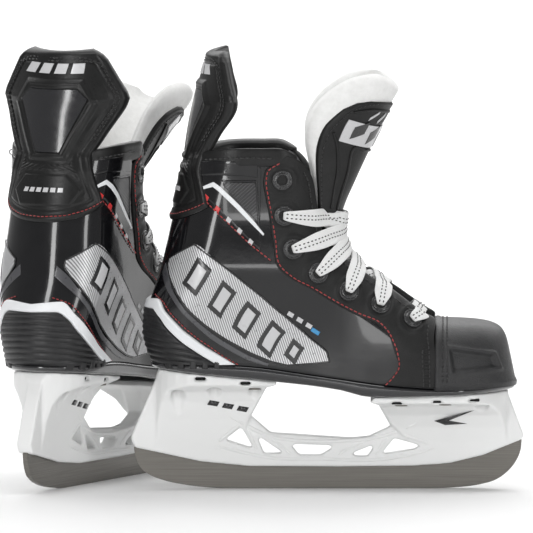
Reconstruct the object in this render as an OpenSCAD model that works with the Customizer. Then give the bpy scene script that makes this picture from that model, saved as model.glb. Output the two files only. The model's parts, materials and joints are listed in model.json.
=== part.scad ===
// A pair of ice hockey skates. The right skate stands along +X with its toe at +X, and the
// left one is its mirror image, set behind it and turned. Z = 0 is the ice, and the origin is
// the middle of the right blade's flat.

/* [Blade] */
// Thickness of the steel runner
runner_t = 3; // [2.4:0.1:3.6]
// Thickness of the blade holder's bridge
bridge_t = 9; // [7:0.5:11]
// How far the runner's back edge sits inside the holder
runner_bite = 5; // [3:0.5:6]

/* [Boot] */
// Thickness of the quarter shell
shell_t = 2.6; // [2:0.1:3.2]
// Thickness of the liner
liner_t = 2.2; // [1.5:0.1:3]
// Thickness of the leather facings
facing_t = 1.2; // [0.8:0.1:1.6]
// Half width of the boot at the ball of the foot
ball_half = 36; // [33:0.5:39]
// Half width of the boot at the heel
heel_half = 24.5; // [22:0.5:27]
// Half width of the shaft at the ankle bones
ankle_half = 31; // [28:0.5:33]

/* [Eyelets and lace] */
// Radius of an eyelet's hole
eyelet_r = 2.3; // [2:0.1:2.6]
// Radius of an eyelet's flange
eyelet_flange_r = 4.4; // [4:0.1:5]
// Width of the flat lace
lace_w = 8.5; // [6:0.5:9]
// Thickness of the flat lace
lace_t = 1.1; // [0.8:0.1:1.4]

/* [Tongue and tendon guard] */
// Thickness of the tongue's felt
felt_t = 7; // [5:0.5:8]
// Forward lean added to the left tongue, in degrees
left_tongue_lean = 30; // [0:1:32]
// Thickness of the tendon guard
guard_t = 3.4; // [2.5:0.1:4]

/* [Pair] */
// Turn of the left skate about the vertical, in degrees
left_yaw = 64.5; // [55:0.5:75]
// Distance of the left blade's middle behind the right one's
left_back = 55; // [50:1:75]
// Distance of the left blade's middle to the left of the right one's
left_aside = 120; // [115:1:150]

/* [Hidden] */
PIECES = ["runner", "holder", "runner_bolts", "rivets", "outsole", "insole_board", "footbed",
    "quarter_shell", "liner", "ankle_pads", "heel_cup", "heel_band", "ankle_overlay",
    "ankle_stripe", "side_badges", "facings", "eyelets", "collar", "guard_lower",
    "guard_upper", "toe_cap", "tongue_felt_lower", "tongue_felt_upper",
    "tongue_cover_lower", "tongue_cover_upper", "tongue_badge", "lace"];

gap = 0.35;             // between stacked curved layers
ease = 0.65;            // more of it between two layers whose facets differ
close = 0.05;           // between flat faces and around pressed pieces
cover_t = 1.6;          // tongue cover
badge_t = 0.7;
overlay_t = 1.2;
sole_plane_in = 0.4;    // pieces on the sole start this far above it
white = "whitesmoke";
steel = "silver";

// ---- Boot surface --------------------------------------------------------------------
// Height of the sole's upper face along the boot.
SOLE = [[-100, 69.6], [-50, 68.6], [-4, 63], [37, 58], [62, 56.5], [102, 57.6]];
// Underside of the outsole, where the holder's flanges bear.
UNDER = [[-100, 66.8], [-28, 60], [6, 56], [23, 51.9], [26, 52.2], [102, 54.4]];
// Back line of the boot, by height.
BACK = [[56, -90], [68, -93.4], [78, -97.6], [86, -99.4], [97, -98.9], [108, -95.6],
    [119, -91.8], [133, -88.5], [148, -85.2], [163, -81.4], [179, -77.6], [190, -75.4]];
// Ridge line where the two sides would meet over the instep.
RIDGE = [[-4, 200], [-3.5, 184], [-2.4, 170], [-1, 158], [2.4, 143.5], [11.4, 131.5],
    [23.8, 122.7], [39, 113.2], [52, 104], [60, 97.5], [67, 94.5], [90, 93], [99, 84],
    [103, 57]];
// Half width of the lower boot along its length.
PLAN = [[-100, 0.94], [-70, 1], [-15, 1.06], [8, 1.22], [25, 1.36], [45, 1.47], [62, 1.46],
    [80, 1.34], [92, 1.1], [101, 0.7]];
round_front = 26;       // rounding radius towards the ridge line
round_heel = 24;
round_shaft = 29;

function sole_z(x) = lookup(x, SOLE);
function under_z(x) = lookup(x, UNDER);
function back_x(z) = lookup(z, BACK);
function plan_half(x) = lookup(x, PLAN) * heel_half * (x > 0 ? ball_half / 36 : 1);
function round_back(z) = lookup(z, [[80, round_heel], [140, round_shaft]]);

function seg_dist(p, a, b) =
    let (ab = b - a, t = max(0, min(1, (p - a) * ab / (ab * ab)))) norm(p - a - t * ab);
function ridge_dist(x, z) =
    min([for (i = [0:len(RIDGE) - 2]) seg_dist([x, z], RIDGE[i], RIDGE[i + 1])]);

// Half width before rounding: the lower boot's plan, blended into the shaft above.
function full_half(x, z) =
    let (up = lookup(z, [[74, 0], [98, 0.35], [126, 1]]),
        fore = lookup(x, [[-10, 1], [40, 0.2]]),
        shaft = ankle_half * lookup(z, [[126, 1], [150, 0.97], [188, 1.04]]))
    plan_half(x) * (1 - up * fore) + shaft * up * fore;
function rounding(d, r) = let (q = 1 - max(0.001, min(1, d / r))) sqrt(1 - q * q);
function half_width(x, z) = full_half(x, z) * rounding(ridge_dist(x, z), round_front);

// s runs around the boot from the middle of the heel, positive on the +Y side.
function s_to_x(s, z) =
    let (r = round_back(z), quarter = r * PI / 2, a = abs(s))
    back_x(z) + (a < quarter ? r * (1 - cos(a / r * 180 / PI)) : r + a - quarter);
function x_to_s(x, z) =
    let (r = round_back(z), d = max(0, x - back_x(z)))
    d < r ? r * acos(1 - d / r) * PI / 180 : d - r + r * PI / 2;
function around(s, z) =
    let (r = round_back(z), a = abs(s), x = s_to_x(s, z),
        turn = a < r * PI / 2 ? sin(a / r * 180 / PI) : 1)
    [x, sign(s) * turn * half_width(x, z), z];
function unit(v) = v / norm(v);
step = 0.4;             // for the surface's slopes
function normal_at(s, z) =
    unit(cross(around(s, z + step) - around(s, z - step),
        around(s + step, z) - around(s - step, z)));
// A point of the boot, moved out of the surface by off.
function skin(s, z, off) = around(s, z) + off * normal_at(s, z);

// ---- Sheets: solids between two grids of points ---------------------------------------
function flat(rows) = [for (row = rows) for (p = row) p];
function quad(a, b, c, d) = [[a, b, c], [a, c, d]];

module sheet_solid(outer, inner) {
    n = len(outer) - 1;
    m = len(outer[0]) - 1;
    w = m + 1;
    half = (n + 1) * w;
    faces = concat(
        [for (i = [0:n - 1]) for (j = [0:m - 1])
            for (f = quad(i * w + j, (i + 1) * w + j, (i + 1) * w + j + 1, i * w + j + 1)) f],
        [for (i = [0:n - 1]) for (j = [0:m - 1])
            for (f = quad(half + i * w + j, half + i * w + j + 1,
                half + (i + 1) * w + j + 1, half + (i + 1) * w + j)) f],
        [for (i = [0:n - 1])
            for (f = quad(i * w, half + i * w, half + (i + 1) * w, (i + 1) * w)) f],
        [for (i = [0:n - 1])
            for (f = quad(i * w + m, (i + 1) * w + m, half + (i + 1) * w + m,
                half + i * w + m)) f],
        [for (j = [0:m - 1]) for (f = quad(j, j + 1, half + j + 1, half + j)) f],
        [for (j = [0:m - 1])
            for (f = quad(n * w + j, half + n * w + j, half + n * w + j + 1,
                n * w + j + 1)) f]);
    polyhedron(concat(flat(outer), flat(inner)), faces);
}

function mix(a, b, t) = a + (b - a) * t;
function unroll(p) = [x_to_s(p[0], p[1]), p[1]];
// Lines across a patch, each a pair [lower, upper] of side view points, refined to even steps.
function refined(lines, stride) =
    let (u = [for (l = lines) [unroll(l[0]), unroll(l[1])]])
    [for (i = [0:len(u) - 2])
        let (span = max(norm(u[i + 1][0] - u[i][0]), norm(u[i + 1][1] - u[i][1])),
            n = max(1, ceil(span / stride)))
        for (k = [0:n - (i == len(u) - 2 ? 0 : 1)])
            [mix(u[i][0], u[i + 1][0], k / n), mix(u[i][1], u[i + 1][1], k / n)]];
function mirrored(l) = [[-l[0][0], l[0][1]], [-l[1][0], l[1][1]]];
function grid(lines, rows, off) =
    [for (l = lines) [for (j = [0:rows])
        let (p = mix(l[0], l[1], j / rows)) skin(p[0], p[1], off)]];

// A patch that wraps around the heel; its first line is on the heel's middle.
module wrap_patch(lines, rows, inner, outer, stride = 5) {
    half = refined(lines, stride);
    n = len(half) - 1;
    all = concat([for (i = [n:-1:1]) mirrored(half[i])], half);
    sheet_solid(grid(all, rows, outer), grid(all, rows, inner));
}
// The same patch on each side of the boot.
module side_patches(lines, rows, inner, outer, stride = 5) {
    half = refined(lines, stride);
    sheet_solid(grid(half, rows, outer), grid(half, rows, inner));
    mirror([0, 1, 0]) sheet_solid(grid(half, rows, outer), grid(half, rows, inner));
}
// A line from the sole up to a point, for the boot's lower pieces.
function rise(x, top) = [[x, sole_z(x) + sole_plane_in], top];

// ---- Blade and holder -----------------------------------------------------------------
// Lower edge of the holder, which is also the line where the steel shows.
HOLDER_EDGE = [[-105.5, 22.6], [-69.4, 14.9], [-42.6, 12.3], [6.6, 12], [47.5, 12.6],
    [66, 13.9], [84.7, 18.4], [105.5, 26.9]];
RUNNER_SOLE = [[105.5, 21.4], [99.4, 11.9], [92.1, 5], [83, 2.1], [70, 0.5], [60, 0],
    [-60, 0], [-79, 2.1], [-97.2, 7.5], [-103.8, 13.1]];
tab_x = [-76, 70];      // middles of the runner's two bolt tabs
tab_half = 8;
tab_top = 32;
runner_end = 99;        // the hidden back edge stops here
function edge_z(x) = lookup(x, HOLDER_EDGE);
function hidden_edge(extra) = [for (p = [
        [-runner_end - extra, edge_z(-runner_end)], [tab_x[0] - tab_half - extra, undef],
        [tab_x[0] - tab_half - extra, tab_top], [tab_x[0] + tab_half + extra, tab_top],
        [tab_x[0] + tab_half + extra, undef], [-42.6, undef], [47.5, undef],
        [tab_x[1] - tab_half - extra, undef], [tab_x[1] - tab_half - extra, tab_top],
        [tab_x[1] + tab_half + extra, tab_top], [tab_x[1] + tab_half + extra, undef],
        [runner_end + extra, edge_z(runner_end)]])
    [p[0], (is_undef(p[1]) ? edge_z(p[0]) + runner_bite : p[1]) + extra]];

module side_extrude(points, t) {
    rotate([90, 0, 0]) linear_extrude(t, center = true) polygon(points);
}

module runner() {
    color(steel)
    side_extrude(concat([[-106, 22.3]], [[-runner_end, edge_z(-runner_end) - 0.2]],
        hidden_edge(0), [[runner_end, edge_z(runner_end) - 0.2], [105.8, 26.6]],
        RUNNER_SOLE), runner_t);
}

web_drop = 0.6;         // the web's top lies inside the flanges by this much
WEB_SIDE = concat(HOLDER_EDGE, [[107, 28.8], [98.4, 52], [98.4, under_z(98) - web_drop],
    [26.5, under_z(26) - web_drop], [23.6, 49.3], [27.2, 46.6], [34.2, 34.1], [20.1, 27.6],
    [6.6, 28], [-31.4, 30.6], [-42, 39.8], [-32.6, 57.2], [-28.6, 58.6],
    [-28.6, under_z(-28) - web_drop], [-91.8, under_z(-92) - web_drop], [-100.9, 44],
    [-107.8, 27.7]]);
REAR_TOWER = [[-106.9, 28], [-104, 23.4], [-85, 19.2], [-48.6, 24], [-42.8, 39.2],
    [-33.6, 56.6], [-28.1, 58.2], [-28.1, under_z(-28.1) - close], [-92.3, under_z(-92.3) - close],
    [-100.2, 44]];
FRONT_TOWER = [[35, 34.7], [46.4, 24.3], [84.7, 19.4], [104.6, 27.6], [106, 29],
    [97.9, 52.2], [97.9, under_z(97.9) - close], [25.6, under_z(25.6) - close], [23, 49.6],
    [28, 47.2]];
WINDOWS = [[[-56.2, 26.9], [-47.4, 33.9], [-40.5, 21.8]],
    [[-39, 29.5], [-24, 19.3], [-35, 19.3]],
    [[-20.4, 24.4], [4.9, 23.7], [-3.6, 18.5], [-16, 18.5]],
    [[9.7, 18], [26.1, 24.7], [21.6, 17.6]],
    [[29, 18.8], [36.1, 27.7], [50.9, 23.6], [47.5, 21.7]]];
REAR_TAPER = [[4.4, 16], [4.9, 26], [6.5, 38], [9.5, 48], [13.5, 54], [21, 58], [21, 70]];
FRONT_TAPER = [[4.4, 16], [4.9, 26], [7, 34], [11, 41], [19, 46.5], [31, 49], [31, 60]];
SLOTS = [[-69.8, 61.5], [-45.1, 59], [37.6, 49], [59.6, 49.8], [79.9, 50.6]];
slot_len = 6.8;
slot_h = 2.2;

// Outline of the sole from above, inset, between two places along it.
function sole_half(x, inset) =
    let (heel = rounding(x + 96 - inset, 30), toe = rounding(101 - inset - x, 26))
    max(0.5, (plan_half(x) - inset) * heel * toe);
function sole_plan(inset, x0, x1) =
    let (n = 16, xs = [for (i = [0:n]) mix(x0, x1, (1 - cos(180 * i / n)) / 2)])
    concat([for (x = xs) [x, -sole_half(x, inset)]],
        [for (i = [n:-1:0]) [xs[i], sole_half(xs[i], inset)]]);
module plan_extrude(inset, x0, x1) {
    translate([0, 0, 10]) linear_extrude(90) polygon(sole_plan(inset, x0, x1));
}

module tower(side, taper, inset, x0, x1) {
    intersection() {
        side_extrude(side, 80);
        rotate([90, 0, 90]) linear_extrude(240, center = true)
            polygon(concat([for (p = taper) [-p[0], p[1]]],
                [for (i = [len(taper) - 1:-1:0]) taper[i]]));
        plan_extrude(inset, x0, x1);
    }
}
// A slot with round ends, sunk into the flange's edge from both sides.
module edge_slot(p, y) {
    for (side = [-1, 1]) translate([p[0], side * y, p[1]]) rotate([90, 0, 0]) {
        cube([slot_len - slot_h, slot_h, 8], center = true);
        for (end = [-1, 1]) translate([end * (slot_len - slot_h) / 2, 0, 0])
            cylinder(d = slot_h, h = 8, center = true, $fn = 24);
    }
}

bolt_r = 2.2;
bolt_head_r = 3.8;
bolt_top = [58, 46];    // heads, rear and front
RIVETS = [[-82, 11], [-62, 14], [-40, 14], [40, 20], [64, 23], [84, 18]];
rivet_r = 1.9;
rivet_head_r = 3.4;

module rivet_holes() {
    for (p = RIVETS) for (side = [-1, 1])
        translate([p[0], side * p[1], 30]) cylinder(r = rivet_r + close, h = 60, $fn = 32);
}
function head_z(x) = under_z(x) - 4.6;
module rivets() {
    color(steel)
    for (p = RIVETS) for (side = [-1, 1]) translate([p[0], side * p[1], 0]) {
        translate([0, 0, head_z(p[0])])
            cylinder(r = rivet_r, h = sole_z(p[0]) + 3.1 - head_z(p[0]), $fn = 32);
        translate([0, 0, head_z(p[0]) - 1.2]) cylinder(r = rivet_head_r, h = 1.4, $fn = 32);
    }
}
// Room for the rivets' heads, cut up into the towers' shoulders.
module rivet_pockets() {
    for (p = RIVETS) for (side = [-1, 1])
        translate([p[0], side * p[1], head_z(p[0]) - 24 + 0.2 + close])
            cylinder(r = rivet_head_r + 0.4, h = 24, $fn = 32);
}

module holder() {
    color(white)
    difference() {
        union() {
            side_extrude(WEB_SIDE, bridge_t);
            tower(REAR_TOWER, REAR_TAPER, 1.5, -94, -20);
            tower(FRONT_TOWER, FRONT_TAPER, 2.5, 15, 98.5);
        }
        for (w = WINDOWS) side_extrude(w, 40);
        for (p = SLOTS) edge_slot(p, p[0] < 0 ? 21.5 : 31);
        side_extrude(concat([[-runner_end - 0.15, 0]], hidden_edge(0.15),
            [[runner_end + 0.15, 0]]), runner_t + 0.1);
        rivet_holes();
        rivet_pockets();
        for (i = [0, 1]) translate([tab_x[i], 0, tab_top - 1]) {
            cylinder(r = bolt_r + close, h = 60, $fn = 32);
            translate([0, 0, bolt_top[i] - tab_top + 1 - close])
                cylinder(r = bolt_head_r + close, h = 20, $fn = 32);
        }
    }
}
module runner_bolts() {
    color(steel)
    for (i = [0, 1]) translate([tab_x[i], 0, 0]) {
        translate([0, 0, tab_top + 0.2]) cylinder(r = bolt_r, h = bolt_top[i] - tab_top, $fn = 32);
        translate([0, 0, bolt_top[i]]) cylinder(r = bolt_head_r, h = 3, $fn = 32);
    }
}

// ---- Sole -----------------------------------------------------------------------------
// A plate between two height lines along the boot, inset from the sole's outline.
function plate_side(lower, upper, dz0, dz1) = concat([for (p = lower) p + [0, dz0]],
    [for (i = [len(upper) - 1:-1:0]) upper[i] + [0, dz1]]);
module plate(lower, upper, dz0, dz1, inset) {
    intersection() {
        side_extrude(plate_side(lower, upper, dz0, dz1), 90);
        plan_extrude(inset, -96 + inset, 101 - inset);
    }
}
module outsole() {
    color("black")
    difference() {
        plate(UNDER, SOLE, 0, 0, -0.5);
        rivet_holes();
    }
}
board_t = 3;
module insole_board() {
    color("tan")
    difference() {
        plate(SOLE, SOLE, close, board_t, 7);
        rivet_holes();
    }
}
bed_t = 3.5;
module footbed() {
    color("dimgray") plate(SOLE, SOLE, board_t + 0.3, board_t + 0.3 + bed_t, 8);
}

// ---- Upper ----------------------------------------------------------------------------
shell_top = [[-77.9, 176], [-70, 178], [-58, 180.4], [-36, 181], [-24, 181], [-14, 178.5],
    [-9.3, 171], [-7.3, 158.5], [-3.3, 141.5], [8.5, 127.4], [21, 118.4], [36.3, 109],
    [47, 101], [57, 94]];
shell_foot = [-94, -90, -75, -55, -35, -20, -8, 4, 14, 24, 36, 46, 53, 57];
function shell_lines(drop) = [for (i = [0:len(shell_top) - 1])
    rise(shell_foot[i], shell_top[i] - [0, drop])];
module quarter_shell() {
    color("black")
    difference() {
        wrap_patch(shell_lines(0), 7, -shell_t, 0, 8);
        eyelet_holes();
    }
}
module liner() {
    color("gray")
    difference() {
        wrap_patch(shell_lines(1), 5, -shell_t - gap - liner_t, -shell_t - gap - ease, 12);
        eyelet_holes();
    }
}
module ankle_pads() {
    depth = shell_t + liner_t + 2 * gap;
    color("dimgray") side_patches([[[-66, 120], [-60, 158]], [[-52, 108], [-46, 166]],
        [[-38, 110], [-34, 162]], [[-30, 122], [-27, 146]]], 5, -depth - 4, -depth - 0.4 - ease, 9);
}
module heel_cup() {
    color("dimgray") wrap_patch([for (l = [rise(-94, [-98.9, 97.3]), rise(-92, [-95, 97.6]),
        rise(-85, [-88.4, 88.7]), rise(-75, [-77.6, 78.8]), rise(-66, [-67.3, 72])])
        [l[0] + [0, 0.5], l[1]]],
        5, gap, gap + 2, 4);
}
module heel_band() {
    color(white) wrap_patch([[[-98.9, 97.9], [-98.4, 103.4]], [[-95.2, 98.2], [-92.5, 103.8]],
        [[-88, 89.4], [-84.3, 93.2]], [[-77.1, 79.5], [-73.3, 83.6]],
        [[-66.5, 72.3], [-62.5, 76.2]], [[-60.5, 69.3], [-53, 69.5]]], 2, gap, gap + 1.7, 4);
}
module ankle_overlay() {
    color("black") side_patches([[[-79.5, 153.5], [-66.6, 176.4]], [[-72, 160], [-60, 178.5]],
        [[-65.9, 159], [-53, 179.3]], [[-55.5, 148.8], [-46, 180]], [[-45, 139], [-40, 179.5]],
        [[-36.8, 132], [-38.5, 176]]], 4, gap, gap + overlay_t, 6);
}
module ankle_stripe() {
    level = gap + overlay_t + 0.3;
    color(white) side_patches([[[-75.4, 160.3], [-73.4, 163.9]], [[-70.5, 164], [-69, 167]],
        [[-62.5, 165.5], [-62, 169.5]], [[-50, 153.5], [-47.5, 157]],
        [[-38.5, 141], [-38.3, 145]]], 1, level, level + 0.6, 5);
}
module side_badges() {
    color(steel) side_patches([[[-85.5, 122.5], [-83.4, 129.5]], [[-84, 113], [-73, 135.2]],
        [[-76, 98], [-57, 122.3]], [[-62, 85], [-40, 108.5]], [[-44, 74.5], [-21, 93]],
        [[-22.2, 69.5], [-4, 79.2]], [[0.5, 71.7], [-0.5, 76.6]]], 3, gap, gap + badge_t, 11);
}
module facings() {
    color("black")
    difference() {
        side_patches([[[-35.5, 177.5], [-13.5, 177.6]], [[-35.6, 172], [-9.6, 170.6]],
            [[-33.5, 160], [-7.5, 158.3]], [[-31.5, 150], [-5.6, 149.5]],
            [[-29.5, 137], [-3.5, 141.6]], [[-27.5, 123.8], [3, 132.6]],
            [[-20.3, 117.3], [8.7, 127]], [[-9.7, 111.8], [14.5, 122.6]],
            [[2.5, 104.2], [21, 118]], [[16.5, 96.8], [30, 112.6]], [[28.3, 91.3], [37, 108]],
            [[34.8, 83], [44, 102.8]], [[38.2, 73.3], [51, 97.6]], [[38.4, 66], [56.4, 93]],
            [[34, 61.5], [56.8, 76]], [[30.5, 59.6], [56.9, 57.8]]], 3, gap + ease + 0.1, gap + facing_t, 9);
        eyelet_holes();
    }
}
module collar() {
    lip = 1.2;
    color("black") wrap_patch([for (i = [0:5])
        [shell_top[i] + [0, 0.4], shell_top[i] + [0, i == 0 ? 3.6 : 5]]],
        2, -shell_t - liner_t - 2.4, lip, 6);
}

// ---- Eyelets --------------------------------------------------------------------------
EYELETS = [[-25.1, 169.9], [-24, 150.7], [-19.1, 132.4], [-5.5, 119.3], [11.5, 109.3],
    [28.7, 102], [45.9, 93.6]];
module at_eyelets(first = 0) {
    for (i = [first:len(EYELETS) - 1]) for (side = [-1, 1]) {
        s = side * x_to_s(EYELETS[i][0], EYELETS[i][1]);
        n = normal_at(s, EYELETS[i][1]);
        translate(around(s, EYELETS[i][1])) rotate([0, acos(n[2]), atan2(n[1], n[0])]) children();
    }
}
barrel_in = shell_t + gap + liner_t + 0.4;
flange_seat = gap + facing_t + 0.3;
module eyelet_holes() {
    at_eyelets() translate([0, 0, -10]) cylinder(r = eyelet_r + 0.7, h = 20, $fn = 24);
}
module eyelets() {
    color("black")
    at_eyelets() difference() {
        union() {
            translate([0, 0, -barrel_in])
                cylinder(r = eyelet_r + 0.6, h = barrel_in + flange_seat, $fn = 24);
            translate([0, 0, flange_seat]) cylinder(r = eyelet_flange_r, h = 0.8, $fn = 24);
        }
        translate([0, 0, -barrel_in - 1])
            cylinder(r = eyelet_r, h = barrel_in + flange_seat + 4, $fn = 24);
    }
}

// ---- Toe cap --------------------------------------------------------------------------
toe_start = 57.6;
toe_len = 43.9;
toe_lean = 0.2;         // the front leans back as it rises
TOE_TURNS = [0, 12, 25, 38, 50, 61, 70, 77, 83, 87, 89.4];
// Points over the toe: turn runs from the cap's rear edge to its tip, arch from side to side.
function toe_point(turn, arch, off) =
    let (x = toe_start + (toe_len + off) * sin(turn), half = (plan_half(55) + off) * pow(cos(turn), 0.7),
        top = (34.6 + off) * pow(cos(turn), 0.2), flatten = 0.62,
        y = -half * sign(cos(arch)) * pow(abs(cos(arch)), flatten),
        rise_z = top * pow(sin(arch), flatten))
    [x - toe_lean * rise_z * pow(sin(turn), 3), y, sole_z(x) + sole_plane_in + rise_z];
function toe_grid(off) = [for (turn = TOE_TURNS)
    [for (k = [0:14]) toe_point(turn, 180 * k / 14, off)]];
module toe_cap() {
    color("black") sheet_solid(toe_grid(1.4), toe_grid(-1.4));
}

// ---- Tongue ---------------------------------------------------------------------------
// Each row: front middle x and z, half width, depth of the curve, lean of the row in degrees.
TONGUE_LOW = [[62, 84.5, 11, 1.5, -52], [53, 94, 11, 2, -55], [37, 107.5, 11, 2.5, -57],
    [22, 117.5, 11, 3, -55], [11.5, 126, 11, 3.5, -38], [6.5, 136, 11, 4, 0],
    [6.6, 147, 11, 4.5, 16]];
TONGUE_HIGH = [[8.8, 152.5, 11, 4.5, 18], [13, 162, 11.5, 5, 23], [19.5, 176, 12, 5.5, 24],
    [24.5, 187, 14, 8, 25], [28.6, 195.5, 22.5, 27, 25], [33, 205, 27, 31, 27],
    [36, 211, 28.5, 28, 31]];
TONGUE_TIP = [41, 218.5, 26, 17, 36];
tongue_hinge = [9.4, 150];
// A row of points across the tongue, at a depth behind its front.
function tongue_row(r, depth, reach = 1, n = 6) = [for (k = [-n:n])
    let (t = reach * k / n, back = depth + r[3] * (1 - cos(90 * t)) , y = (r[2] - depth * 0.15) * sin(90 * t))
    [r[0] - back * cos(r[4]), y, r[1] + back * sin(r[4])]];
function tongue_rows(rows, depth, reach) = [for (r = rows) tongue_row(r, depth, reach)];
module tongue_part(rows, front, back, reach = 1) {
    sheet_solid(tongue_rows(rows, front, reach), tongue_rows(rows, back, reach));
}
module leaned(side) {
    lean = side == "left" ? left_tongue_lean : 0;
    translate([tongue_hinge[0], 0, tongue_hinge[1]]) rotate([0, lean, 0])
        translate([-tongue_hinge[0], 0, -tongue_hinge[1]]) children();
}
module tongue_felt_lower() {
    color(white) tongue_part(TONGUE_LOW, cover_t + 0.3, cover_t + 0.3 + felt_t * 0.6);
}
module tongue_cover_lower() {
    color("black") tongue_part(TONGUE_LOW, 0, cover_t);
}
module tongue_felt_upper() {
    color(white) tongue_part(concat(TONGUE_HIGH, [TONGUE_TIP]), cover_t + 1.2,
        cover_t + 0.3 + felt_t);
}
module tongue_cover_upper() {
    color("black") tongue_part(TONGUE_HIGH, 0, cover_t, 0.74);
}
module tongue_badge() {
    color(steel) tongue_part([for (r = [TONGUE_HIGH[2], TONGUE_HIGH[3]])
        [r[0] + 1.4, r[1] + 3, r[2] - 3, r[3] * 0.6, r[4]]], -2.1, -1.5);
}

// ---- Tendon guard ---------------------------------------------------------------------
module guard_lower() {
    color("black") wrap_patch([[[-84.9, 149.5], [-78, 175.4]], [[-83.2, 149.5], [-75.8, 176]],
        [[-80.6, 151], [-69.6, 176.6]]], 5, gap, gap + guard_t - 1, 4);
}
// Rows of the free part: height, back x, half width, depth of the curve, rise of its edges.
GUARD = [[181.6, -78.3, 22, 9, 5.5], [195, -76.9, 28.8, 15, 2], [211, -73.8, 37, 21, 1.6],
    [224, -70.4, 32, 15.5, 1], [238, -66.2, 24.2, 8, 0.5], [241.5, -64.8, 20, 5.5, 0]];
guard_hinge = [-79.5, 180.6];
function guard_row(g, depth, n = 6) = [for (k = [-n:n])
    let (t = k / n) [g[1] + depth + g[3] * t * t, (g[2] - depth * 0.3) * t, g[0] + g[4] * t * t]];
module guard_upper() {
    color("black") sheet_solid([for (g = GUARD) guard_row(g, guard_t)],
        [for (g = GUARD) guard_row(g, 0)]);
}

// ---- Lace -----------------------------------------------------------------------------
over = flange_seat + 0.8 + ease + lace_t / 2;    // middle of the lace above the boot's skin
strip_w = lace_w * 0.7;
function seg_foot(p, a, b) =
    let (ab = b - a, t = max(0, min(1, (p - a) * ab / (ab * ab)))) a + t * ab;
// Nearest place on the tongue's front line to a point in the side view.
function tongue_foot(p) =
    let (line = concat([for (r = TONGUE_LOW) [r[0], r[1]]], [[13, 162], [19.5, 176]]),
        feet = [for (i = [0:len(line) - 2]) seg_foot(p, line[i], line[i + 1])],
        gaps = [for (f = feet) norm(f - p)])
    feet[search(min(gaps), gaps)[0]];
// A place on the +Y facing, part of the way from eyelet i to the throat.
function on_facing(i, part, up = 0) =
    let (p = mix(EYELETS[i], tongue_foot(EYELETS[i]), part), s = x_to_s(p[0], p[1]))
    [skin(s, p[1], over + up), normal_at(s, p[1])];
// A place over the tongue between eyelet rows, y to the side and up above its front.
function over_tongue(row, y, up) =
    let (i = floor(row), e = mix(EYELETS[i], EYELETS[min(6, i + 1)], row - i),
        f = tongue_foot(e), d = unit(f - e), p = f + d * up)
    [[p[0], y, p[1]], unit([d[0], y * 0.05, d[1]])];
// A flat strip through a few places, each a point and the direction the strip faces there.
module strip(places) {
    n = len(places) - 1;
    points = [for (p = places) p[0]];
    dirs = [for (i = [0:n]) unit(points[min(n, i + 1)] - points[max(0, i - 1)])];
    wides = [for (i = [0:n]) unit(cross(dirs[i], places[i][1]))];
    thick = [for (i = [0:n]) unit(cross(dirs[i], wides[i]))];
    sheet_solid(
        [for (i = [0:n]) [for (j = [-1, 1])
            points[i] + wides[i] * strip_w / 2 * j - thick[i] * lace_t / 2]],
        [for (i = [0:n]) [for (j = [-1, 1])
            points[i] + wides[i] * strip_w / 2 * j + thick[i] * lace_t / 2]]);
}
// From eyelet i over the throat's edge and across to the row above on the other side.
module crossing(i, lift) {
    strip([on_facing(i, -0.12, 0.2), on_facing(i, 0.1, 0.3), on_facing(i, 0.3), on_facing(i, 0.62, 0.4),
        on_facing(i, 0.86, 1.8),
        over_tongue(i - 0.35, 6.5, lift), over_tongue(i - 0.5, 0, lift),
        over_tongue(i - 0.62, -5.5, lift * 0.9), over_tongue(i - 0.72, -8.6, lift * 0.7)]);
}
module lace() {
    color(white) {
        for (i = [2:6]) {
            crossing(i, 1.7);
            mirror([0, 1, 0]) crossing(i, 3.4);
        }
        for (side = [0, 1]) mirror([0, side, 0])
            strip([on_facing(1, -0.12, 0.2), on_facing(1, 0.12, 0.4), on_facing(1, 0.4, 0.3),
                on_facing(1, 0.64, 0.6)]);
        at_eyelets(1) translate([0, 0, -barrel_in - 0.5])
            cylinder(r = eyelet_r - 0.3, h = barrel_in + over - lace_t / 2 + 0.4, $fn = 16);
    }
}

// ---- Placing --------------------------------------------------------------------------
module place(side) {
    if (side == "right") children();
    else translate([-left_aside, left_back, 0]) rotate([0, 0, left_yaw])
        mirror([0, 1, 0]) children();
}
module piece(name, side) {
    if (name == "runner") runner();
    if (name == "holder") holder();
    if (name == "runner_bolts") runner_bolts();
    if (name == "rivets") rivets();
    if (name == "outsole") outsole();
    if (name == "insole_board") insole_board();
    if (name == "footbed") footbed();
    if (name == "quarter_shell") quarter_shell();
    if (name == "liner") liner();
    if (name == "ankle_pads") ankle_pads();
    if (name == "heel_cup") heel_cup();
    if (name == "heel_band") heel_band();
    if (name == "ankle_overlay") ankle_overlay();
    if (name == "ankle_stripe") ankle_stripe();
    if (name == "side_badges") side_badges();
    if (name == "facings") facings();
    if (name == "eyelets") eyelets();
    if (name == "collar") collar();
    if (name == "guard_lower") guard_lower();
    if (name == "guard_upper") guard_upper();
    if (name == "toe_cap") toe_cap();
    if (name == "tongue_felt_lower") tongue_felt_lower();
    if (name == "tongue_cover_lower") tongue_cover_lower();
    if (name == "tongue_felt_upper") leaned(side) tongue_felt_upper();
    if (name == "tongue_cover_upper") leaned(side) tongue_cover_upper();
    if (name == "tongue_badge") leaned(side) tongue_badge();
    if (name == "lace") lace();
}
for (side = ["right", "left"]) for (name = PIECES)
    place(side) piece(name, side);
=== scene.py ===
"""Looks for a pair of ice hockey skates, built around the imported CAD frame.

Every shape is worked out in a skate's own frame in millimetres: +X to the toe, Z = 0 on the
ice, and the outer side of the foot at -Y. The left skate is the mirror image, placed by the
frame's own left mount and joint axis.
"""
import json
import math

import bmesh
import bpy
import numpy as np
from mathutils import Matrix, Vector


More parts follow.
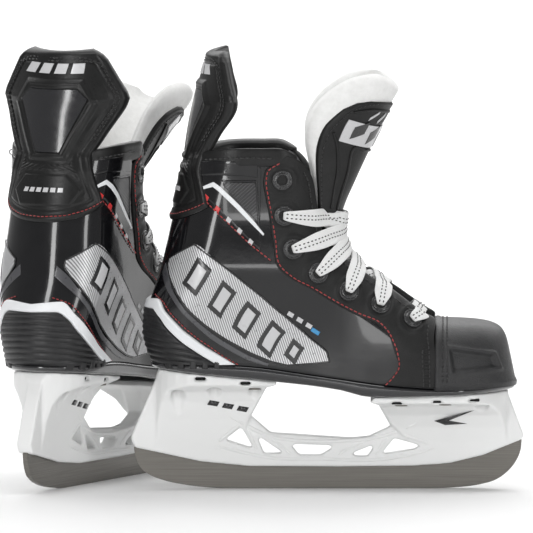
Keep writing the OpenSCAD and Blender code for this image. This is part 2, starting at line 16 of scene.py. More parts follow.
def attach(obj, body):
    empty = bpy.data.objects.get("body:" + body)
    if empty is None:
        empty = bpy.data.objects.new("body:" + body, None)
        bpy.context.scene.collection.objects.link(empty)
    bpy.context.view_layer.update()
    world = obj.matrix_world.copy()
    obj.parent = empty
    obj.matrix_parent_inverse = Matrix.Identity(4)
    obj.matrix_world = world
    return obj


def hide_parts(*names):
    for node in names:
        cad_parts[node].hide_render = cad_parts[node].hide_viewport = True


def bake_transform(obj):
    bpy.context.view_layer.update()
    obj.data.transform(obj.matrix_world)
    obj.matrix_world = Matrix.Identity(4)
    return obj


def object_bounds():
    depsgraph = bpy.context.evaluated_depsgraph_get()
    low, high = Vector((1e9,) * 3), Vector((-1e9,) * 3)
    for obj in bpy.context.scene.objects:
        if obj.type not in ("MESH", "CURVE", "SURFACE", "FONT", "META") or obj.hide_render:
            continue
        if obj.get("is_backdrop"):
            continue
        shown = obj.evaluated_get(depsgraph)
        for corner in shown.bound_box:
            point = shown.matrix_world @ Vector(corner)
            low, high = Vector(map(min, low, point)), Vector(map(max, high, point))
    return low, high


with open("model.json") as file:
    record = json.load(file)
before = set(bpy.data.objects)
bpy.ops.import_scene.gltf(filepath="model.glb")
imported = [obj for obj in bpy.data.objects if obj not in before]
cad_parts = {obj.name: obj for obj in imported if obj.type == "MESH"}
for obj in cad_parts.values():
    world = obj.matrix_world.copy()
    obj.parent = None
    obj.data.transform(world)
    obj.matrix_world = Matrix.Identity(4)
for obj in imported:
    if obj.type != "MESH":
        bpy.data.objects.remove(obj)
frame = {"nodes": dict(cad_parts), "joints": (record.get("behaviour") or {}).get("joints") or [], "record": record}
CAD_BOX = [list(corner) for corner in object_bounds()]

MM = 0.001
MOUNTS = {m["name"]: m for m in frame["record"]["mounts"]}
JOINTS = {j["name"]: j for j in frame["joints"]}
LEFT_AXIS = JOINTS["left_tongue_flex"]["axis"]
LEFT_TURN = math.atan2(-LEFT_AXIS[0], LEFT_AXIS[1])
LEFT_LEAN = JOINTS["right_tongue_flex"]["range_deg"][1] - JOINTS["left_tongue_flex"]["range_deg"][1]
PLACE = {
    "right": Matrix.Identity(4),
    "left": Matrix.Translation(MOUNTS["left_blade_rest"]["pos_m"])
    @ Matrix.Rotation(LEFT_TURN, 4, "Z")
    @ Matrix.Diagonal((1, -1, 1, 1)),
}
SIDES = ("right", "left")
FLANKS = (-1, 1)        # the outer flank of a foot, then the inner one

# ---- Curves ----------------------------------------------------------------


def curve(xs, ys, x):
    """A smooth line through (xs, ys) that never overshoots, read at x."""
    xs, ys, x = (np.asarray(a, float) for a in (xs, ys, x))
    h = np.diff(xs)
    d = np.diff(ys) / h
    m = np.concatenate([[d[0]], np.zeros(len(d) - 1), [d[-1]]])
    both = d[:-1] * d[1:] > 0
    w1, w2 = 2 * h[1:] + h[:-1], h[1:] + 2 * h[:-1]
    safe = np.where(both, d[:-1] * d[1:], 1)
    inner = (w1 + w2) * safe / (w1 * d[1:] + w2 * d[:-1] + (~both) * 1e9)
    m[1:-1] = np.where(both, inner, 0)
    i = np.clip(np.searchsorted(xs, x) - 1, 0, len(h) - 1)
    t = (np.clip(x, xs[0], xs[-1]) - xs[i]) / h[i]
    return (
        (1 + 2 * t) * (1 - t) ** 2 * ys[i]
        + t * (1 - t) ** 2 * h[i] * m[i]
        + t * t * (3 - 2 * t) * ys[i + 1]
        + t * t * (t - 1) * h[i] * m[i + 1]
    )


def table(rows):
    """A smooth function of x through rows of (x, value)."""
    rows = np.array(rows, float)
    return lambda x: curve(rows[:, 0], rows[:, 1], x)


def run_length(p):
    """The distance from a line's first point to each of its points, along the line."""
    return np.concatenate([[0], np.cumsum(np.linalg.norm(np.diff(p, axis=0), axis=1))])


def along(points, count, smooth=True):
    """count points at even steps along a line through the given ones."""
    p = np.array(points, float)
    run = run_length(p)
    t = np.linspace(0, run[-1], count)
    if smooth and len(p) > 2:
        return np.stack([spline(run, p[:, k], t) for k in range(p.shape[1])], axis=-1)
    return np.stack([np.interp(t, run, p[:, k]) for k in range(p.shape[1])], axis=-1)


def spline(xs, ys, x):
    """A Catmull-Rom line through (xs, ys), which may swing a little past its points."""
    xs, ys = np.asarray(xs, float), np.asarray(ys, float)
    m = np.gradient(ys, xs)
    i = np.clip(np.searchsorted(xs, x) - 1, 0, len(xs) - 2)
    h = xs[i + 1] - xs[i]
    t = (x - xs[i]) / h
    return (
        (1 + 2 * t) * (1 - t) ** 2 * ys[i]
        + t * (1 - t) ** 2 * h * m[i]
        + t * t * (3 - 2 * t) * ys[i + 1]
        + t * t * (t - 1) * h * m[i + 1]
    )


def unit(v):
    v = np.asarray(v, float)
    return v / np.maximum(np.linalg.norm(v, axis=-1, keepdims=True), 1e-9)


def ease(x):
    x = np.clip(x, 0, 1)
    return x * x * (3 - 2 * x)


def bulge(x, power):
    """x to a power, keeping its sign: it turns a circle into a rounded square."""
    return np.sign(x) * np.abs(x) ** power


def rounded(x):
    """A quarter circle: 0 at 0, and 1 from 1 on."""
    return np.sqrt(1 - (1 - np.clip(x, 0, 1)) ** 2)


# ---- The boot's surface ----------------------------------------------------
sole_z = table([(-100, 69.6), (-50, 68.6), (-4, 63), (37, 58), (62, 56.5), (102, 57.6)])
under_z = table([(-100, 66.8), (-28, 60), (6, 56), (23, 52.4), (28, 52.4), (102, 54.4)])
back_x = table([(56, -90), (68, -93.4), (78, -97.6), (86, -99.4), (97, -98.9), (108, -95.6),
                (119, -91.8), (133, -88.5), (148, -85.2), (163, -81.4), (179, -77.6),
                (192, -75)])
plan_half = table([(-100, 23), (-70, 24.5), (-15, 26), (8, 30), (25, 33.4), (45, 36),
                   (62, 35.8), (80, 32.8), (92, 27), (101, 17)])
shaft_half = table([(120, 31), (135, 30.6), (150, 30), (170, 30.6), (192, 32.4)])
round_back = table([(80, 24), (110, 26.5), (140, 29)])
RIDGE = along([(-4.5, 202), (-3.5, 186), (-2.4, 171), (-1, 159), (2.4, 144.5), (11.4, 132),
               (23.8, 123), (39, 113.5), (52, 104), (60, 98), (68, 95), (90, 93.4), (99, 84),
               (103, 57)], 60)
ROUND_FRONT = 26


def ridge_gap(x, z):
    """Distance in the side view from the line where the two flanks would meet."""
    p = np.stack([x, z], axis=-1)[..., None, :]
    a, b = RIDGE[:-1], RIDGE[1:]
    ab = b - a
    t = np.clip(((p - a) * ab).sum(-1) / (ab * ab).sum(-1), 0, 1)
    return np.linalg.norm(p - a - t[..., None] * ab, axis=-1).min(-1)


def half_width(x, z):
    up = ease((z - 72) / 54)
    fore = 0.2 + 0.8 * ease((40 - x) / 50)
    full = plan_half(x) * (1 - up * fore) + shaft_half(z) * up * fore
    q = 1 - np.clip(ridge_gap(x, z) / ROUND_FRONT, 0.001, 1)
    return full * np.sqrt(1 - q * q)


def to_s(x, z):
    """Distance around the heel, in the shape's own rounded coordinate."""
    r = round_back(z)
    d = np.maximum(0, x - back_x(z))
    return np.where(d < r, r * np.arccos(np.clip(1 - d / r, -1, 1)), d - r + r * math.pi / 2)


def around(s, z):
    r, a = round_back(z), np.abs(s)
    bend = a < r * math.pi / 2
    x = back_x(z) + np.where(bend, r * (1 - np.cos(a / r)), r + a - r * math.pi / 2)
    turn = np.where(bend, np.sin(a / r), 1)
    return np.stack([x, np.sign(s) * turn * half_width(x, z), z], axis=-1)


def normal_at(s, z, step=0.5):
    up = around(s, z + step) - around(s, z - step)
    on = around(s + step, z) - around(s - step, z)
    return unit(np.cross(up, on))


def skin(s, z, off):
    """Points off millimetres outside the boot."""
    return around(s, z) + np.asarray(off)[..., None] * normal_at(s, z)


def down(first, last, rows, cols):
    """A grid of even steps from one row to the next."""
    return np.linspace(first, last, rows)[:, None] * np.ones(cols)


def across(first, last, rows, cols):
    """A grid of even steps from one column to the next."""
    return np.linspace(first, last, cols) * np.ones((rows, 1))


# ---- Meshes ----------------------------------------------------------------
def sheet(outer, inner):
    """A closed sheet between two grids of points."""
    n, m = outer.shape[:2]
    i = np.arange(n * m).reshape(n, m)
    k = n * m
    quads = [
        np.stack([i[:-1, :-1], i[:-1, 1:], i[1:, 1:], i[1:, :-1]], -1),
        np.stack([i[:-1, :-1], i[1:, :-1], i[1:, 1:], i[:-1, 1:]], -1) + k,
        np.stack([i[:-1, 0], i[1:, 0], i[1:, 0] + k, i[:-1, 0] + k], -1),
        np.stack([i[:-1, -1], i[:-1, -1] + k, i[1:, -1] + k, i[1:, -1]], -1),
        np.stack([i[0, :-1], i[0, :-1] + k, i[0, 1:] + k, i[0, 1:]], -1),
        np.stack([i[-1, :-1], i[-1, 1:], i[-1, 1:] + k, i[-1, :-1] + k], -1),
    ]
    faces = [tuple(f) for q in quads for f in q.reshape(-1, 4).tolist()]
    return np.concatenate([outer.reshape(-1, 3), inner.reshape(-1, 3)]), faces


def loft(rings, capped=True):
    """Closed rings of points joined one to the next."""
    rings = np.asarray(rings, float)
    n, m = rings.shape[:2]
    faces = [
        (a * m + j, a * m + (j + 1) % m, (a + 1) * m + (j + 1) % m, (a + 1) * m + j)
        for a in range(n - 1)
        for j in range(m)
    ]
    if capped:
        faces += [tuple(range(m))[::-1], tuple(range((n - 1) * m, n * m))]
    return rings.reshape(-1, 3), faces


def join(parts):
    """Several meshes as one."""
    verts, faces, base = [], [], 0
    for v, f in parts:
        verts.append(v)
        faces += [tuple(i + base for i in face) for face in f]
        base += len(v)
    return np.concatenate(verts), faces


def build(name, part, look, side, slot, body="skates", crease=None, stands_for=()):
    """Makes one object of a skate from points in the skate's own frame.

    look is a key of MAT, and stands_for names the CAD nodes, without their side, that it replaces.
    """
    verts, faces = part
    place = np.array(PLACE[side])
    world = (np.asarray(verts) * MM) @ place[:3, :3].T + place[:3, 3]
    mesh = bpy.data.meshes.new(f"{side}_{name}")
    mesh.from_pydata(world.tolist(), [], faces)
    local = mesh.attributes.new("local_mm", "FLOAT_VECTOR", "POINT")
    local.data.foreach_set("vector", np.asarray(verts, np.float32).ravel())
    bm = bmesh.new()
    bm.from_mesh(mesh)
    bmesh.ops.recalc_face_normals(bm, faces=bm.faces)
    bm.to_mesh(mesh)
    bm.free()
    mesh.shade_smooth()
    mesh.materials.append(MAT[look])
    obj = bpy.data.objects.new(f"{side}_{name}", mesh)
    bpy.context.scene.collection.objects.link(obj)
    if crease:
        mesh.set_sharp_from_angle(angle=math.radians(crease))
    if body:
        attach(obj, body)
    if stands_for:
        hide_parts(*[f"{side}_{node}" for node in stands_for])
    return obj


def edge_steps(length, edge, count):
    """Places from 0 to 1 across a strip, closer together near its two rims."""
    e = min(edge / max(length, 1e-6), 0.3)
    near = e * np.array([0, 0.06, 0.22, 0.5, 1])
    middle = np.linspace(e, 1 - e, max(2, count))[1:-1]
    return np.concatenate([near, middle, 1 - near[::-1]])


def ruled(lines, step, smooth=True):
    """Pairs of side view points (lower, upper), refined along the patch."""
    p = np.array([[a[0], a[1], b[0], b[1]] for a, b in lines], float)
    q = p.copy()
    q[:, 0], q[:, 2] = to_s(p[:, 0], p[:, 1]), to_s(p[:, 2], p[:, 3])
    gap = np.maximum(
        np.linalg.norm(np.diff(q[:, :2], axis=0), axis=1),
        np.linalg.norm(np.diff(q[:, 2:], axis=0), axis=1),
    )
    run = np.concatenate([[0], np.cumsum(gap)])
    t = run[-1] * edge_steps(run[-1], 1.2, int(run[-1] / step) + 2)
    if smooth:
        return t, np.stack([curve(run, q[:, k], t) for k in range(4)], -1)
    return t, np.stack([np.interp(t, run, q[:, k]) for k in range(4)], -1)


def patch(lines, base, thick, flank=None, step=1.6, rows=None, edge=0.9, sink=0.6, smooth=True,
          relief=None, deep_top=0, open_ends=False):
    """A raised piece on the boot with rounded rims. flank None wraps it around the heel.

    relief(x, z) adds height, and deep_top carries the upper rim down over the shell's edge.
    """
    t, q = ruled(lines, step, smooth)
    if flank is None:
        q = np.concatenate([q[:0:-1] * [-1, 1, -1, 1], q])
        t = np.concatenate([-t[:0:-1], t])
    width = np.hypot(q[:, 2] - q[:, 0], q[:, 3] - q[:, 1])
    v = edge_steps(np.median(width), edge, rows or int(width.max() / step) + 2)
    s = q[:, None, 0] + (q[:, 2] - q[:, 0])[:, None] * v
    z = q[:, None, 1] + (q[:, 3] - q[:, 1])[:, None] * v
    rim = np.minimum(v * width[:, None], (1 - v) * width[:, None])
    ends = t[-1] - np.abs(t) if flank is None else np.minimum(t, t[-1] - t)
    if not open_ends:
        rim = np.minimum(rim, ends[:, None])
    lift = rounded(rim / edge)
    if flank is not None:
        s = s * flank
    high = base + thick * lift
    if relief is not None:
        spot = around(s, z)
        high = high + relief(spot[..., 0], z) * np.clip(rim / (2 * edge), 0, 1)
    low = np.full_like(high, base - sink) - deep_top * np.clip((v - 0.9) / 0.1, 0, 1)
    return sheet(skin(s, z, high), skin(s, z, low))


def both_flanks(lines, *args, **words):
    """The same patch on the outer and the inner flank."""
    return join([patch(lines, *args, flank=f, **words) for f in FLANKS])


def trace(points, flank, off, step=0.5, smooth=True):
    """A line on the boot through side view points: places and the boot's normals there."""
    p = np.array(points, float)
    q = np.stack([to_s(p[:, 0], p[:, 1]), p[:, 1]], -1)
    length = np.linalg.norm(np.diff(q, axis=0), axis=1).sum()
    q = along(q, max(4, int(length / step)), smooth)
    s = q[:, 0] * flank
    return skin(s, q[:, 1], np.full(len(q), off)), normal_at(s, q[:, 1])


def tube(path, radius, normals=None, sides=8, flat=1.0, capped=True):
    """A tube along a path; flat squeezes it along the given normals."""
    path = np.asarray(path, float)
    tangent = unit(np.gradient(path, axis=0))
    up = np.asarray(normals if normals is not None else [[0, 0, 1]] * len(path), float)
    wide = unit(np.cross(tangent, up))
    up = np.cross(wide, tangent)
    r = np.broadcast_to(np.asarray(radius, float), (len(path),))[:, None, None]
    a = np.linspace(0, 2 * math.pi, sides, endpoint=False)
    ring = (np.cos(a)[None, :, None] * wide[:, None] + flat * np.sin(a)[None, :, None] * up[:, None])
    return loft(path[:, None] + r * ring, capped)


def bead(sides=6):
    """A small lozenge along X, of unit half length and unit radius."""
    a = np.linspace(0, 2 * math.pi, sides, endpoint=False)
    ring = np.stack([np.zeros(sides), np.cos(a), np.sin(a)], -1)
    shape = ((-1, 0.35), (-0.7, 0.85), (0, 1), (0.7, 0.85), (1, 0.35))
    return loft([ring * [1, k, k] + [x, 0, 0] for x, k in shape])


BEAD = bead()


def stitches(path, normals, pitch=2.7, length=1.9, radius=0.34):
    """Thread stitches lying along a path."""
    run = run_length(path)
    centres = np.arange(pitch / 2, run[-1], pitch)
    read = lambda at, values: np.stack([np.interp(at, run, values[:, k]) for k in range(3)], -1)
    place, up = read(centres, path), read(centres, normals)
    along_it = unit(read(centres + 0.4, path) - read(centres - 0.4, path))
    aside = unit(np.cross(up, along_it))
    up = np.cross(along_it, aside)
    v = BEAD[0]
    parts = []
    for p, a, c, u in zip(place, along_it, aside, up):
        spots = p + v[:, :1] * a * length / 2 + v[:, 1:2] * c * radius + v[:, 2:] * u * radius
        parts.append((spots, BEAD[1]))
    return join(parts)


def seam(points, off, flanks=FLANKS, smooth=True, **words):
    """Stitches along a line on the boot, on each flank."""
    return join([stitches(*trace(points, f, off, smooth=smooth), **words) for f in flanks])


def groove_tube(points, off, radius, flanks=FLANKS, smooth=True, flat=0.6):
    """A flattened bead along a line on the boot, on each flank."""
    parts = []
    for f in flanks:
        path, up = trace(points, f, off, smooth=smooth)
        parts.append(tube(path, radius, up, flat=flat))
    return join(parts)


# ---- Materials -------------------------------------------------------------
class Material:
    """A node material: a Principled shader with procedural colour, roughness and bump."""

    def __init__(self, name, colour, rough, metallic=0.0, coat=0.0, coat_rough=0.05, sheen=0.0,
                 specular=0.5):
        self.data = bpy.data.materials.new(name)
        self.data.use_nodes = True
        self.nodes = self.data.node_tree.nodes
        self.links = self.data.node_tree.links
        self.shader = self.nodes["Principled BSDF"]
        put = self.shader.inputs
        put["Base Color"].default_value = (*colour, 1)
        put["Roughness"].default_value = rough
        put["Metallic"].default_value = metallic
        put["Coat Weight"].default_value = coat
        put["Coat Roughness"].default_value = coat_rough
        put["Sheen Weight"].default_value = sheen
        put["Specular IOR Level"].default_value = specular
        self.where = self.nodes.new("ShaderNodeTexCoord")
        self.height = None

    def node(self, kind, **values):
        made = self.nodes.new(kind)
        for key, value in values.items():
            if key in made.inputs:
                made.inputs[key].default_value = value
            else:
                setattr(made, key, value)
        return made

    def spot(self, scale=(1, 1, 1), turn=(0, 0, 0), local=False):
        """Places in millimetres, from the object or from the skate's own frame."""
        shift = self.node("ShaderNodeMapping")
        shift.inputs["Rotation"].default_value = turn
        if local:
            source = self.node("ShaderNodeAttribute", attribute_name="local_mm").outputs["Vector"]
            shift.inputs["Scale"].default_value = scale
        else:
            source = self.where.outputs["Object"]
            shift.inputs["Scale"].default_value = [1000 * k for k in scale]
        self.links.new(source, shift.inputs["Vector"])
        return shift.outputs["Vector"]

    def noise(self, scale, detail=3, rough=0.5, spot=None):
        made = self.node("ShaderNodeTexNoise", Scale=scale, Detail=detail, Roughness=rough)
        self.links.new(spot or self.spot(), made.inputs["Vector"])
        return made.outputs["Fac"]

    def cells(self, scale, spot=None, feature="F1"):
        made = self.node("ShaderNodeTexVoronoi", Scale=scale, feature=feature)
        self.links.new(spot or self.spot(), made.inputs["Vector"])
        return made.outputs["Distance"]

    def wave(self, scale, spot, distortion=0.0, direction="X", profile="SIN"):
        made = self.node("ShaderNodeTexWave", Scale=scale, Distortion=distortion,
                         bands_direction=direction, wave_profile=profile)
        self.links.new(spot, made.inputs["Vector"])
        return made.outputs["Fac"]

    def spread(self, fac, low, high, start=0.0, end=1.0):
        made = self.node("ShaderNodeMapRange")
        for key, value in (("From Min", start), ("From Max", end), ("To Min", low), ("To Max", high)):
            made.inputs[key].default_value = value
        self.links.new(fac, made.inputs["Value"])
        return made.outputs["Result"]

    def ramp(self, fac, stops):
        made = self.node("ShaderNodeValToRGB")
        band = made.color_ramp.elements
        while len(band) < len(stops):
            band.new(0.5)
        for element, (place, colour) in zip(band, stops):
            element.position = place
            element.color = (*colour, 1)
        self.links.new(fac, made.inputs["Fac"])
        return made.outputs["Color"]

    def colour(self, socket):
        self.links.new(socket, self.shader.inputs["Base Color"])
        return self

    def rough(self, socket):
        self.links.new(socket, self.shader.inputs["Roughness"])
        return self

    def bump(self, fac, depth_mm, strength=1.0):
        made = self.node("ShaderNodeBump", Strength=strength, Distance=depth_mm * MM)
        self.links.new(fac, made.inputs["Height"])
        if self.height:
            self.links.new(self.height, made.inputs["Normal"])
        self.height = made.outputs["Normal"]
        self.links.new(self.height, self.shader.inputs["Normal"])
        return self


def grey(level, blue=1.0):
    return (level, level, level * blue)


def clouded(name, base, rough, clouds, low, high, grains, rough_clouds=None, **shine):
    """A plain material. Noise puts clouds in its colour and roughness, and grains are its bumps.

    low and high are a place on the ramp and a colour. rough_clouds is the least and greatest
    roughness, then the noise's scale and detail.
    """
    m = Material(name, base, rough, **shine)
    m.colour(m.ramp(m.noise(*clouds), [low, high]))
    if rough_clouds:
        m.rough(m.spread(m.noise(*rough_clouds[2:]), *rough_clouds[:2], 0.3, 0.7))
    for kind, texture, *depth in grains:
        m.bump(getattr(m, kind)(*texture), *depth)
    return m


def grain_leather(name, shade, rough, depth=0.10):
    return clouded(name, grey(shade, 1.05), rough, (0.12, 4), (0.3, grey(shade * 0.8)),
                   (0.7, grey(shade * 1.25)),
                   [("cells", (1.5,), depth), ("noise", (2.6, 4), depth * 0.4)],
                   (rough - 0.07, rough + 0.08, 1.1, 3), specular=0.3)


def plain_plastic(name, colour, rough, grain=0.03, coat=0.0):
    return clouded(name, colour, rough, (0.04, 3), (0.25, tuple(c * 0.93 for c in colour)),
                   (0.75, colour), [("noise", (1.2, 3), grain)],
                   (rough - 0.05, rough + 0.06, 0.25, 4), coat=coat, coat_rough=0.12)


def blade_steel():
    m = Material("blade_steel", (0.17, 0.16, 0.145), 0.42, metallic=0.7)
    line = m.spot((0.02, 0.6, 2.2), local=True)
    m.colour(m.ramp(m.noise(1.0, 5, 0.6, line),
                    [(0.25, (0.125, 0.118, 0.106)), (0.75, (0.205, 0.195, 0.178))]))
    m.rough(m.spread(m.noise(1.3, 4, 0.6, line), 0.30, 0.50, 0.3, 0.7))
    return m.bump(m.noise(1.6, 4, 0.6, line), 0.025)


def silver_hatch():
    m = Material("silver_hatch", (0.50, 0.50, 0.51), 0.36, metallic=0.35, coat=0.2)
    line = m.spot((1, 1, 1), (0, math.radians(18), 0), local=True)
    fine = m.wave(0.26, line)
    m.colour(m.ramp(fine, [(0.30, (0.22, 0.22, 0.23)), (0.62, (0.66, 0.66, 0.67))]))
    m.rough(m.spread(m.noise(0.6, 3), 0.26, 0.42, 0.3, 0.7))
    return m.bump(fine, 0.05)


def fine_ribs(name, colour, rough, pitch, turn):
    """Black sheet moulded with close parallel ribs."""
    m = Material(name, colour, rough, coat=0.35)
    lines = m.wave(0.314 / pitch, m.spot((1, 1, 1), turn, local=True))
    # The rib crests are painted lighter: a painted highlight along each rib.
    crest_highlight = tuple(c * 3.2 for c in colour)
    m.colour(m.ramp(lines, [(0.35, colour), (0.95, crest_highlight)]))
    m.rough(m.spread(lines, rough + 0.1, rough - 0.06))
    return m.bump(lines, 0.35)


def lace_weave(name, colour):
    m = Material(name, colour, 0.85, sheen=0.35, specular=0.2)
    a = m.wave(1.25, m.spot((1, 1, 1), (0.5, 0.7, 0.4), local=True), 0.6)
    b = m.wave(1.25, m.spot((1, 1, 1), (-0.5, -0.7, 0.4), local=True), 0.6)
    # The low parts of the weave are painted a little darker, in step with its bump: painted shade.
    groove_shade = tuple(c * 0.93 for c in colour)
    m.colour(m.ramp(a, [(0.2, groove_shade), (0.7, colour)]))
    return m.bump(a, 0.07).bump(b, 0.07)


def thread(name, colour):
    m = Material(name, colour, 0.6, sheen=0.3, specular=0.3)
    twist = m.wave(2.2, m.spot((1, 1, 1), (0.3, 0.6, 0.8), local=True))
    # The grooves of the twist are painted darker, in step with its bump: painted shade.
    groove_shade = tuple(c * 0.55 for c in colour)
    m.colour(m.ramp(twist, [(0.2, groove_shade), (0.75, colour)]))
    return m.bump(twist, 0.08)


LOOKS = {
    "patent": clouded("patent_black", (0.006, 0.006, 0.007), 0.15, (0.09, 3),
                      (0.3, (0.004, 0.004, 0.005)), (0.75, (0.007, 0.007, 0.008)),
                      [("noise", (0.35, 2), 0.03), ("noise", (0.06, 1), 0.25, 0.5)],
                      (0.12, 0.20, 0.05, 2), coat=0.6, coat_rough=0.04, specular=0.25),
    "leather": grain_leather("matte_leather", 0.009, 0.48),
    "collar": grain_leather("collar_leather", 0.009, 0.36, 0.05),
    "cover": grain_leather("tongue_leather", 0.011, 0.46, 0.07),
    "toe": clouded("toe_texture", (0.012, 0.012, 0.013), 0.40, (0.2, 4),
                   (0.3, (0.009, 0.009, 0.010)), (0.7, (0.015, 0.015, 0.016)),
                   [("noise", (1.5, 5, 0.65), 0.30), ("cells", (1.1,), 0.12)],
                   (0.32, 0.48, 1.4, 4), specular=0.55),
    "rubber": clouded("heel_rubber", (0.020, 0.020, 0.022), 0.42, (0.3, 3),
                      (0.3, (0.008, 0.008, 0.009)), (0.75, (0.014, 0.014, 0.015)),
                      [("noise", (2.0, 3), 0.05)], (0.34, 0.52, 0.9, 4)),
    "band": plain_plastic("band_white", (0.80, 0.815, 0.83), 0.34),
    "sole": plain_plastic("sole_gloss", (0.012, 0.012, 0.014), 0.16, 0.02, 0.8),
    "holder": clouded("holder_white", (0.78, 0.785, 0.78), 0.36, (0.02, 2),
                      (0.3, (0.77, 0.775, 0.77)), (0.7, (0.80, 0.804, 0.80)),
                      [("noise", (0.9, 3), 0.02)], (0.33, 0.42, 0.2, 4), specular=0.35),
    "steel": blade_steel(),
    "hatch": silver_hatch(),
    "badge_dark": plain_plastic("badge_dark", (0.060, 0.060, 0.066), 0.30, 0.02, 0.5),
    "ink": plain_plastic("badge_ink", (0.012, 0.012, 0.013), 0.26, 0.02, 0.5),
    "silver": plain_plastic("silver_edge", (0.56, 0.56, 0.57), 0.30, 0.01, 0.4),
    "ribs": fine_ribs("ribbed_panel", (0.012, 0.012, 0.013), 0.34, 1.5, (0, math.radians(-48), 0)),
    "guard": grain_leather("guard_leather", 0.009, 0.34, 0.04),
    "guard_gloss": plain_plastic("guard_gloss", (0.014, 0.014, 0.016), 0.20, 0.03, 0.6),
    "eyelet": plain_plastic("eyelet_black", (0.016, 0.016, 0.017), 0.28, 0.02, 0.5),
    # Near-black rough plugs put in the eyelet bores and holder slots: painted shade inside the holes.
    "dark": plain_plastic("painted_shade_black", (0.003, 0.003, 0.003), 0.9, 0.02),
    "felt": clouded("felt_white", (0.86, 0.86, 0.845), 0.95, (0.25, 5, 0.7),
                    (0.25, (0.79, 0.79, 0.775)), (0.7, (0.90, 0.90, 0.89)),
                    [("noise", (1.7, 6, 0.75), 0.35), ("noise", (0.4, 3), 0.3, 0.6)],
                    sheen=0.6, specular=0.1),
    "lace": lace_weave("lace_white", (0.96, 0.96, 0.955)),
    "tracer": lace_weave("lace_tracer", (0.02, 0.02, 0.02)),
    "red": thread("thread_red", (0.56, 0.030, 0.030)),
    "black_thread": thread("thread_black", (0.010, 0.010, 0.010)),
    "blue": plain_plastic("accent_blue", (0.05, 0.28, 0.55), 0.35),
    "accent_red": plain_plastic("accent_red", (0.60, 0.03, 0.03), 0.35),
    "lining": clouded("lining_fabric", (0.16, 0.16, 0.165), 0.9, (0.5, 4),
                      (0.3, (0.12, 0.12, 0.125)), (0.7, (0.20, 0.20, 0.205)),
                      [("cells", (0.9,), 0.25)], sheen=0.4, specular=0.2),
    "board": clouded("board_fibre", (0.42, 0.33, 0.22), 0.8, (0.6, 6, 0.7),
                     (0.3, (0.36, 0.28, 0.18)), (0.7, (0.48, 0.38, 0.26)),
                     [("noise", (1.4, 5), 0.12)]),
}
MAT = {key: look.data for key, look in LOOKS.items()}

# ---- Boot shell, lining and inner pieces -----------------------------------
SHELL_TOP = [(-77.6, 179.5), (-70, 182), (-58, 184.5), (-36, 185.2), (-24, 185), (-15, 181),
             (-9.6, 173), (-7, 160), (-4, 142.5), (8.3, 128.2), (20.8, 119), (36.2, 109.4),
             (46, 102.4), (58, 93.6)]
SHELL_FOOT = [-94, -90, -75, -55, -35, -20, -8, 4, 14, 24, 36, 46, 53, 59]


def rise(x, top, lift=0.2):
    return ((x, float(sole_z(x)) + lift), top)


SHELL = [rise(x, top) for x, top in zip(SHELL_FOOT, SHELL_TOP)]


def quarter_shell(side):
    part = patch(SHELL, -2.7, 2.7, edge=0.8, sink=0, open_ends=True)
    build("quarter_panel", part, "patent", side, "patent_black", stands_for=["quarter_shell"])


def lining(side):
    """The soft lining with the swell of the ankle pads under it."""
    _, q = ruled([((a[0], a[1]), (b[0], b[1] - 0.5)) for a, b in SHELL[:-1]], 2.2)
    q = np.concatenate([q[:0:-1] * [-1, 1, -1, 1], q])
    v = np.linspace(0, 1, 48)
    s = q[:, None, 0] + (q[:, 2] - q[:, 0])[:, None] * v
    z = q[:, None, 1] + (q[:, 3] - q[:, 1])[:, None] * v
    x = around(s, z)[..., 0]
    pad = np.exp(-(((x + 46) / 17) ** 2 + ((z - 137) / 24) ** 2) * 1.2) * 3.4
    rib = 0.35 * np.abs(np.sin((x + z) * 0.32)) * np.exp(-(((x + 46) / 20) ** 2))
    part = sheet(skin(s, z, np.full_like(z, -2.6)), skin(s, z, -5.0 - pad - rib))
    build("lining", part, "lining", side, "lining", stands_for=["liner", "ankle_pads"])


def footbed(side):
    """A contoured insole: raised at the rim and arch."""
    rows, cols = 70, 26
    x, t = down(-88, 92, rows, cols), across(-1, 1, rows, cols)
    heel = np.sqrt(np.clip(1 - ((-62 - x) / 27).clip(0) ** 2, 0.02, 1))
    toe = np.sqrt(np.clip(1 - ((x - 62) / 31).clip(0) ** 2, 0.02, 1))
    half = (plan_half(x) - 8.2) * heel * toe
    floor = sole_z(x) + 3.4
    cup = 2.6 * np.abs(t) ** 4 * ease((20 - x) / 60)
    top = np.stack([x, t * half, floor + 3.4 + cup], -1)
    low = np.stack([x, t * half, floor], -1)
    build("footbed", sheet(top, low), "lining", side, "foam", stands_for=["footbed"])


FACING = [((-23, 184.8), (-22.9, 185.2)), ((-28, 181), (-16.5, 182.4)), ((-34.5, 176.5), (-10.6, 175.5)),
          ((-35.4, 172), (-8.6, 170.6)), ((-34.2, 162.2), (-6.9, 160)),
          ((-32.5, 152.9), (-5.4, 151)), ((-30.4, 139), (-3.4, 142.6)),
          ((-28.1, 124.9), (3.2, 133.2)), ((-20.8, 118), (8.8, 127.8)),
          ((-10.2, 112.3), (14.7, 123.4)), ((2.2, 104.7), (21.2, 118.8)),
          ((16.2, 97.2), (30.2, 113.2)), ((28, 91.8), (37.2, 108.6)),
          ((34.6, 83.4), (44.4, 103.4)), ((37.8, 73.7), (51.6, 98.2)),
          ((38, 68.5), (58.5, 93.4)), ((34.4, 63.2), (59.2, 76)), ((30.2, 59.8), (59.6, 57.6))]


def inset_line(lines, low, high, skip=0, stop=None):
    """A line inside a patch: low and high are its distances from the lower and upper edge."""
    out = []
    for (a, b) in lines[skip:stop]:
        a, b = np.array(a), np.array(b)
        w = np.linalg.norm(b - a)
        t = low / w if low is not None else 1 - high / w
        out.append(tuple(a + (b - a) * t))
    return out


EYELETS = [(-25.1, 171.6), (-24, 152), (-19.1, 133.7), (-5.5, 120.4), (11.5, 110.4),
           (28.7, 103.2), (45.9, 95.1)]
LAST_EYELET = len(EYELETS) - 1


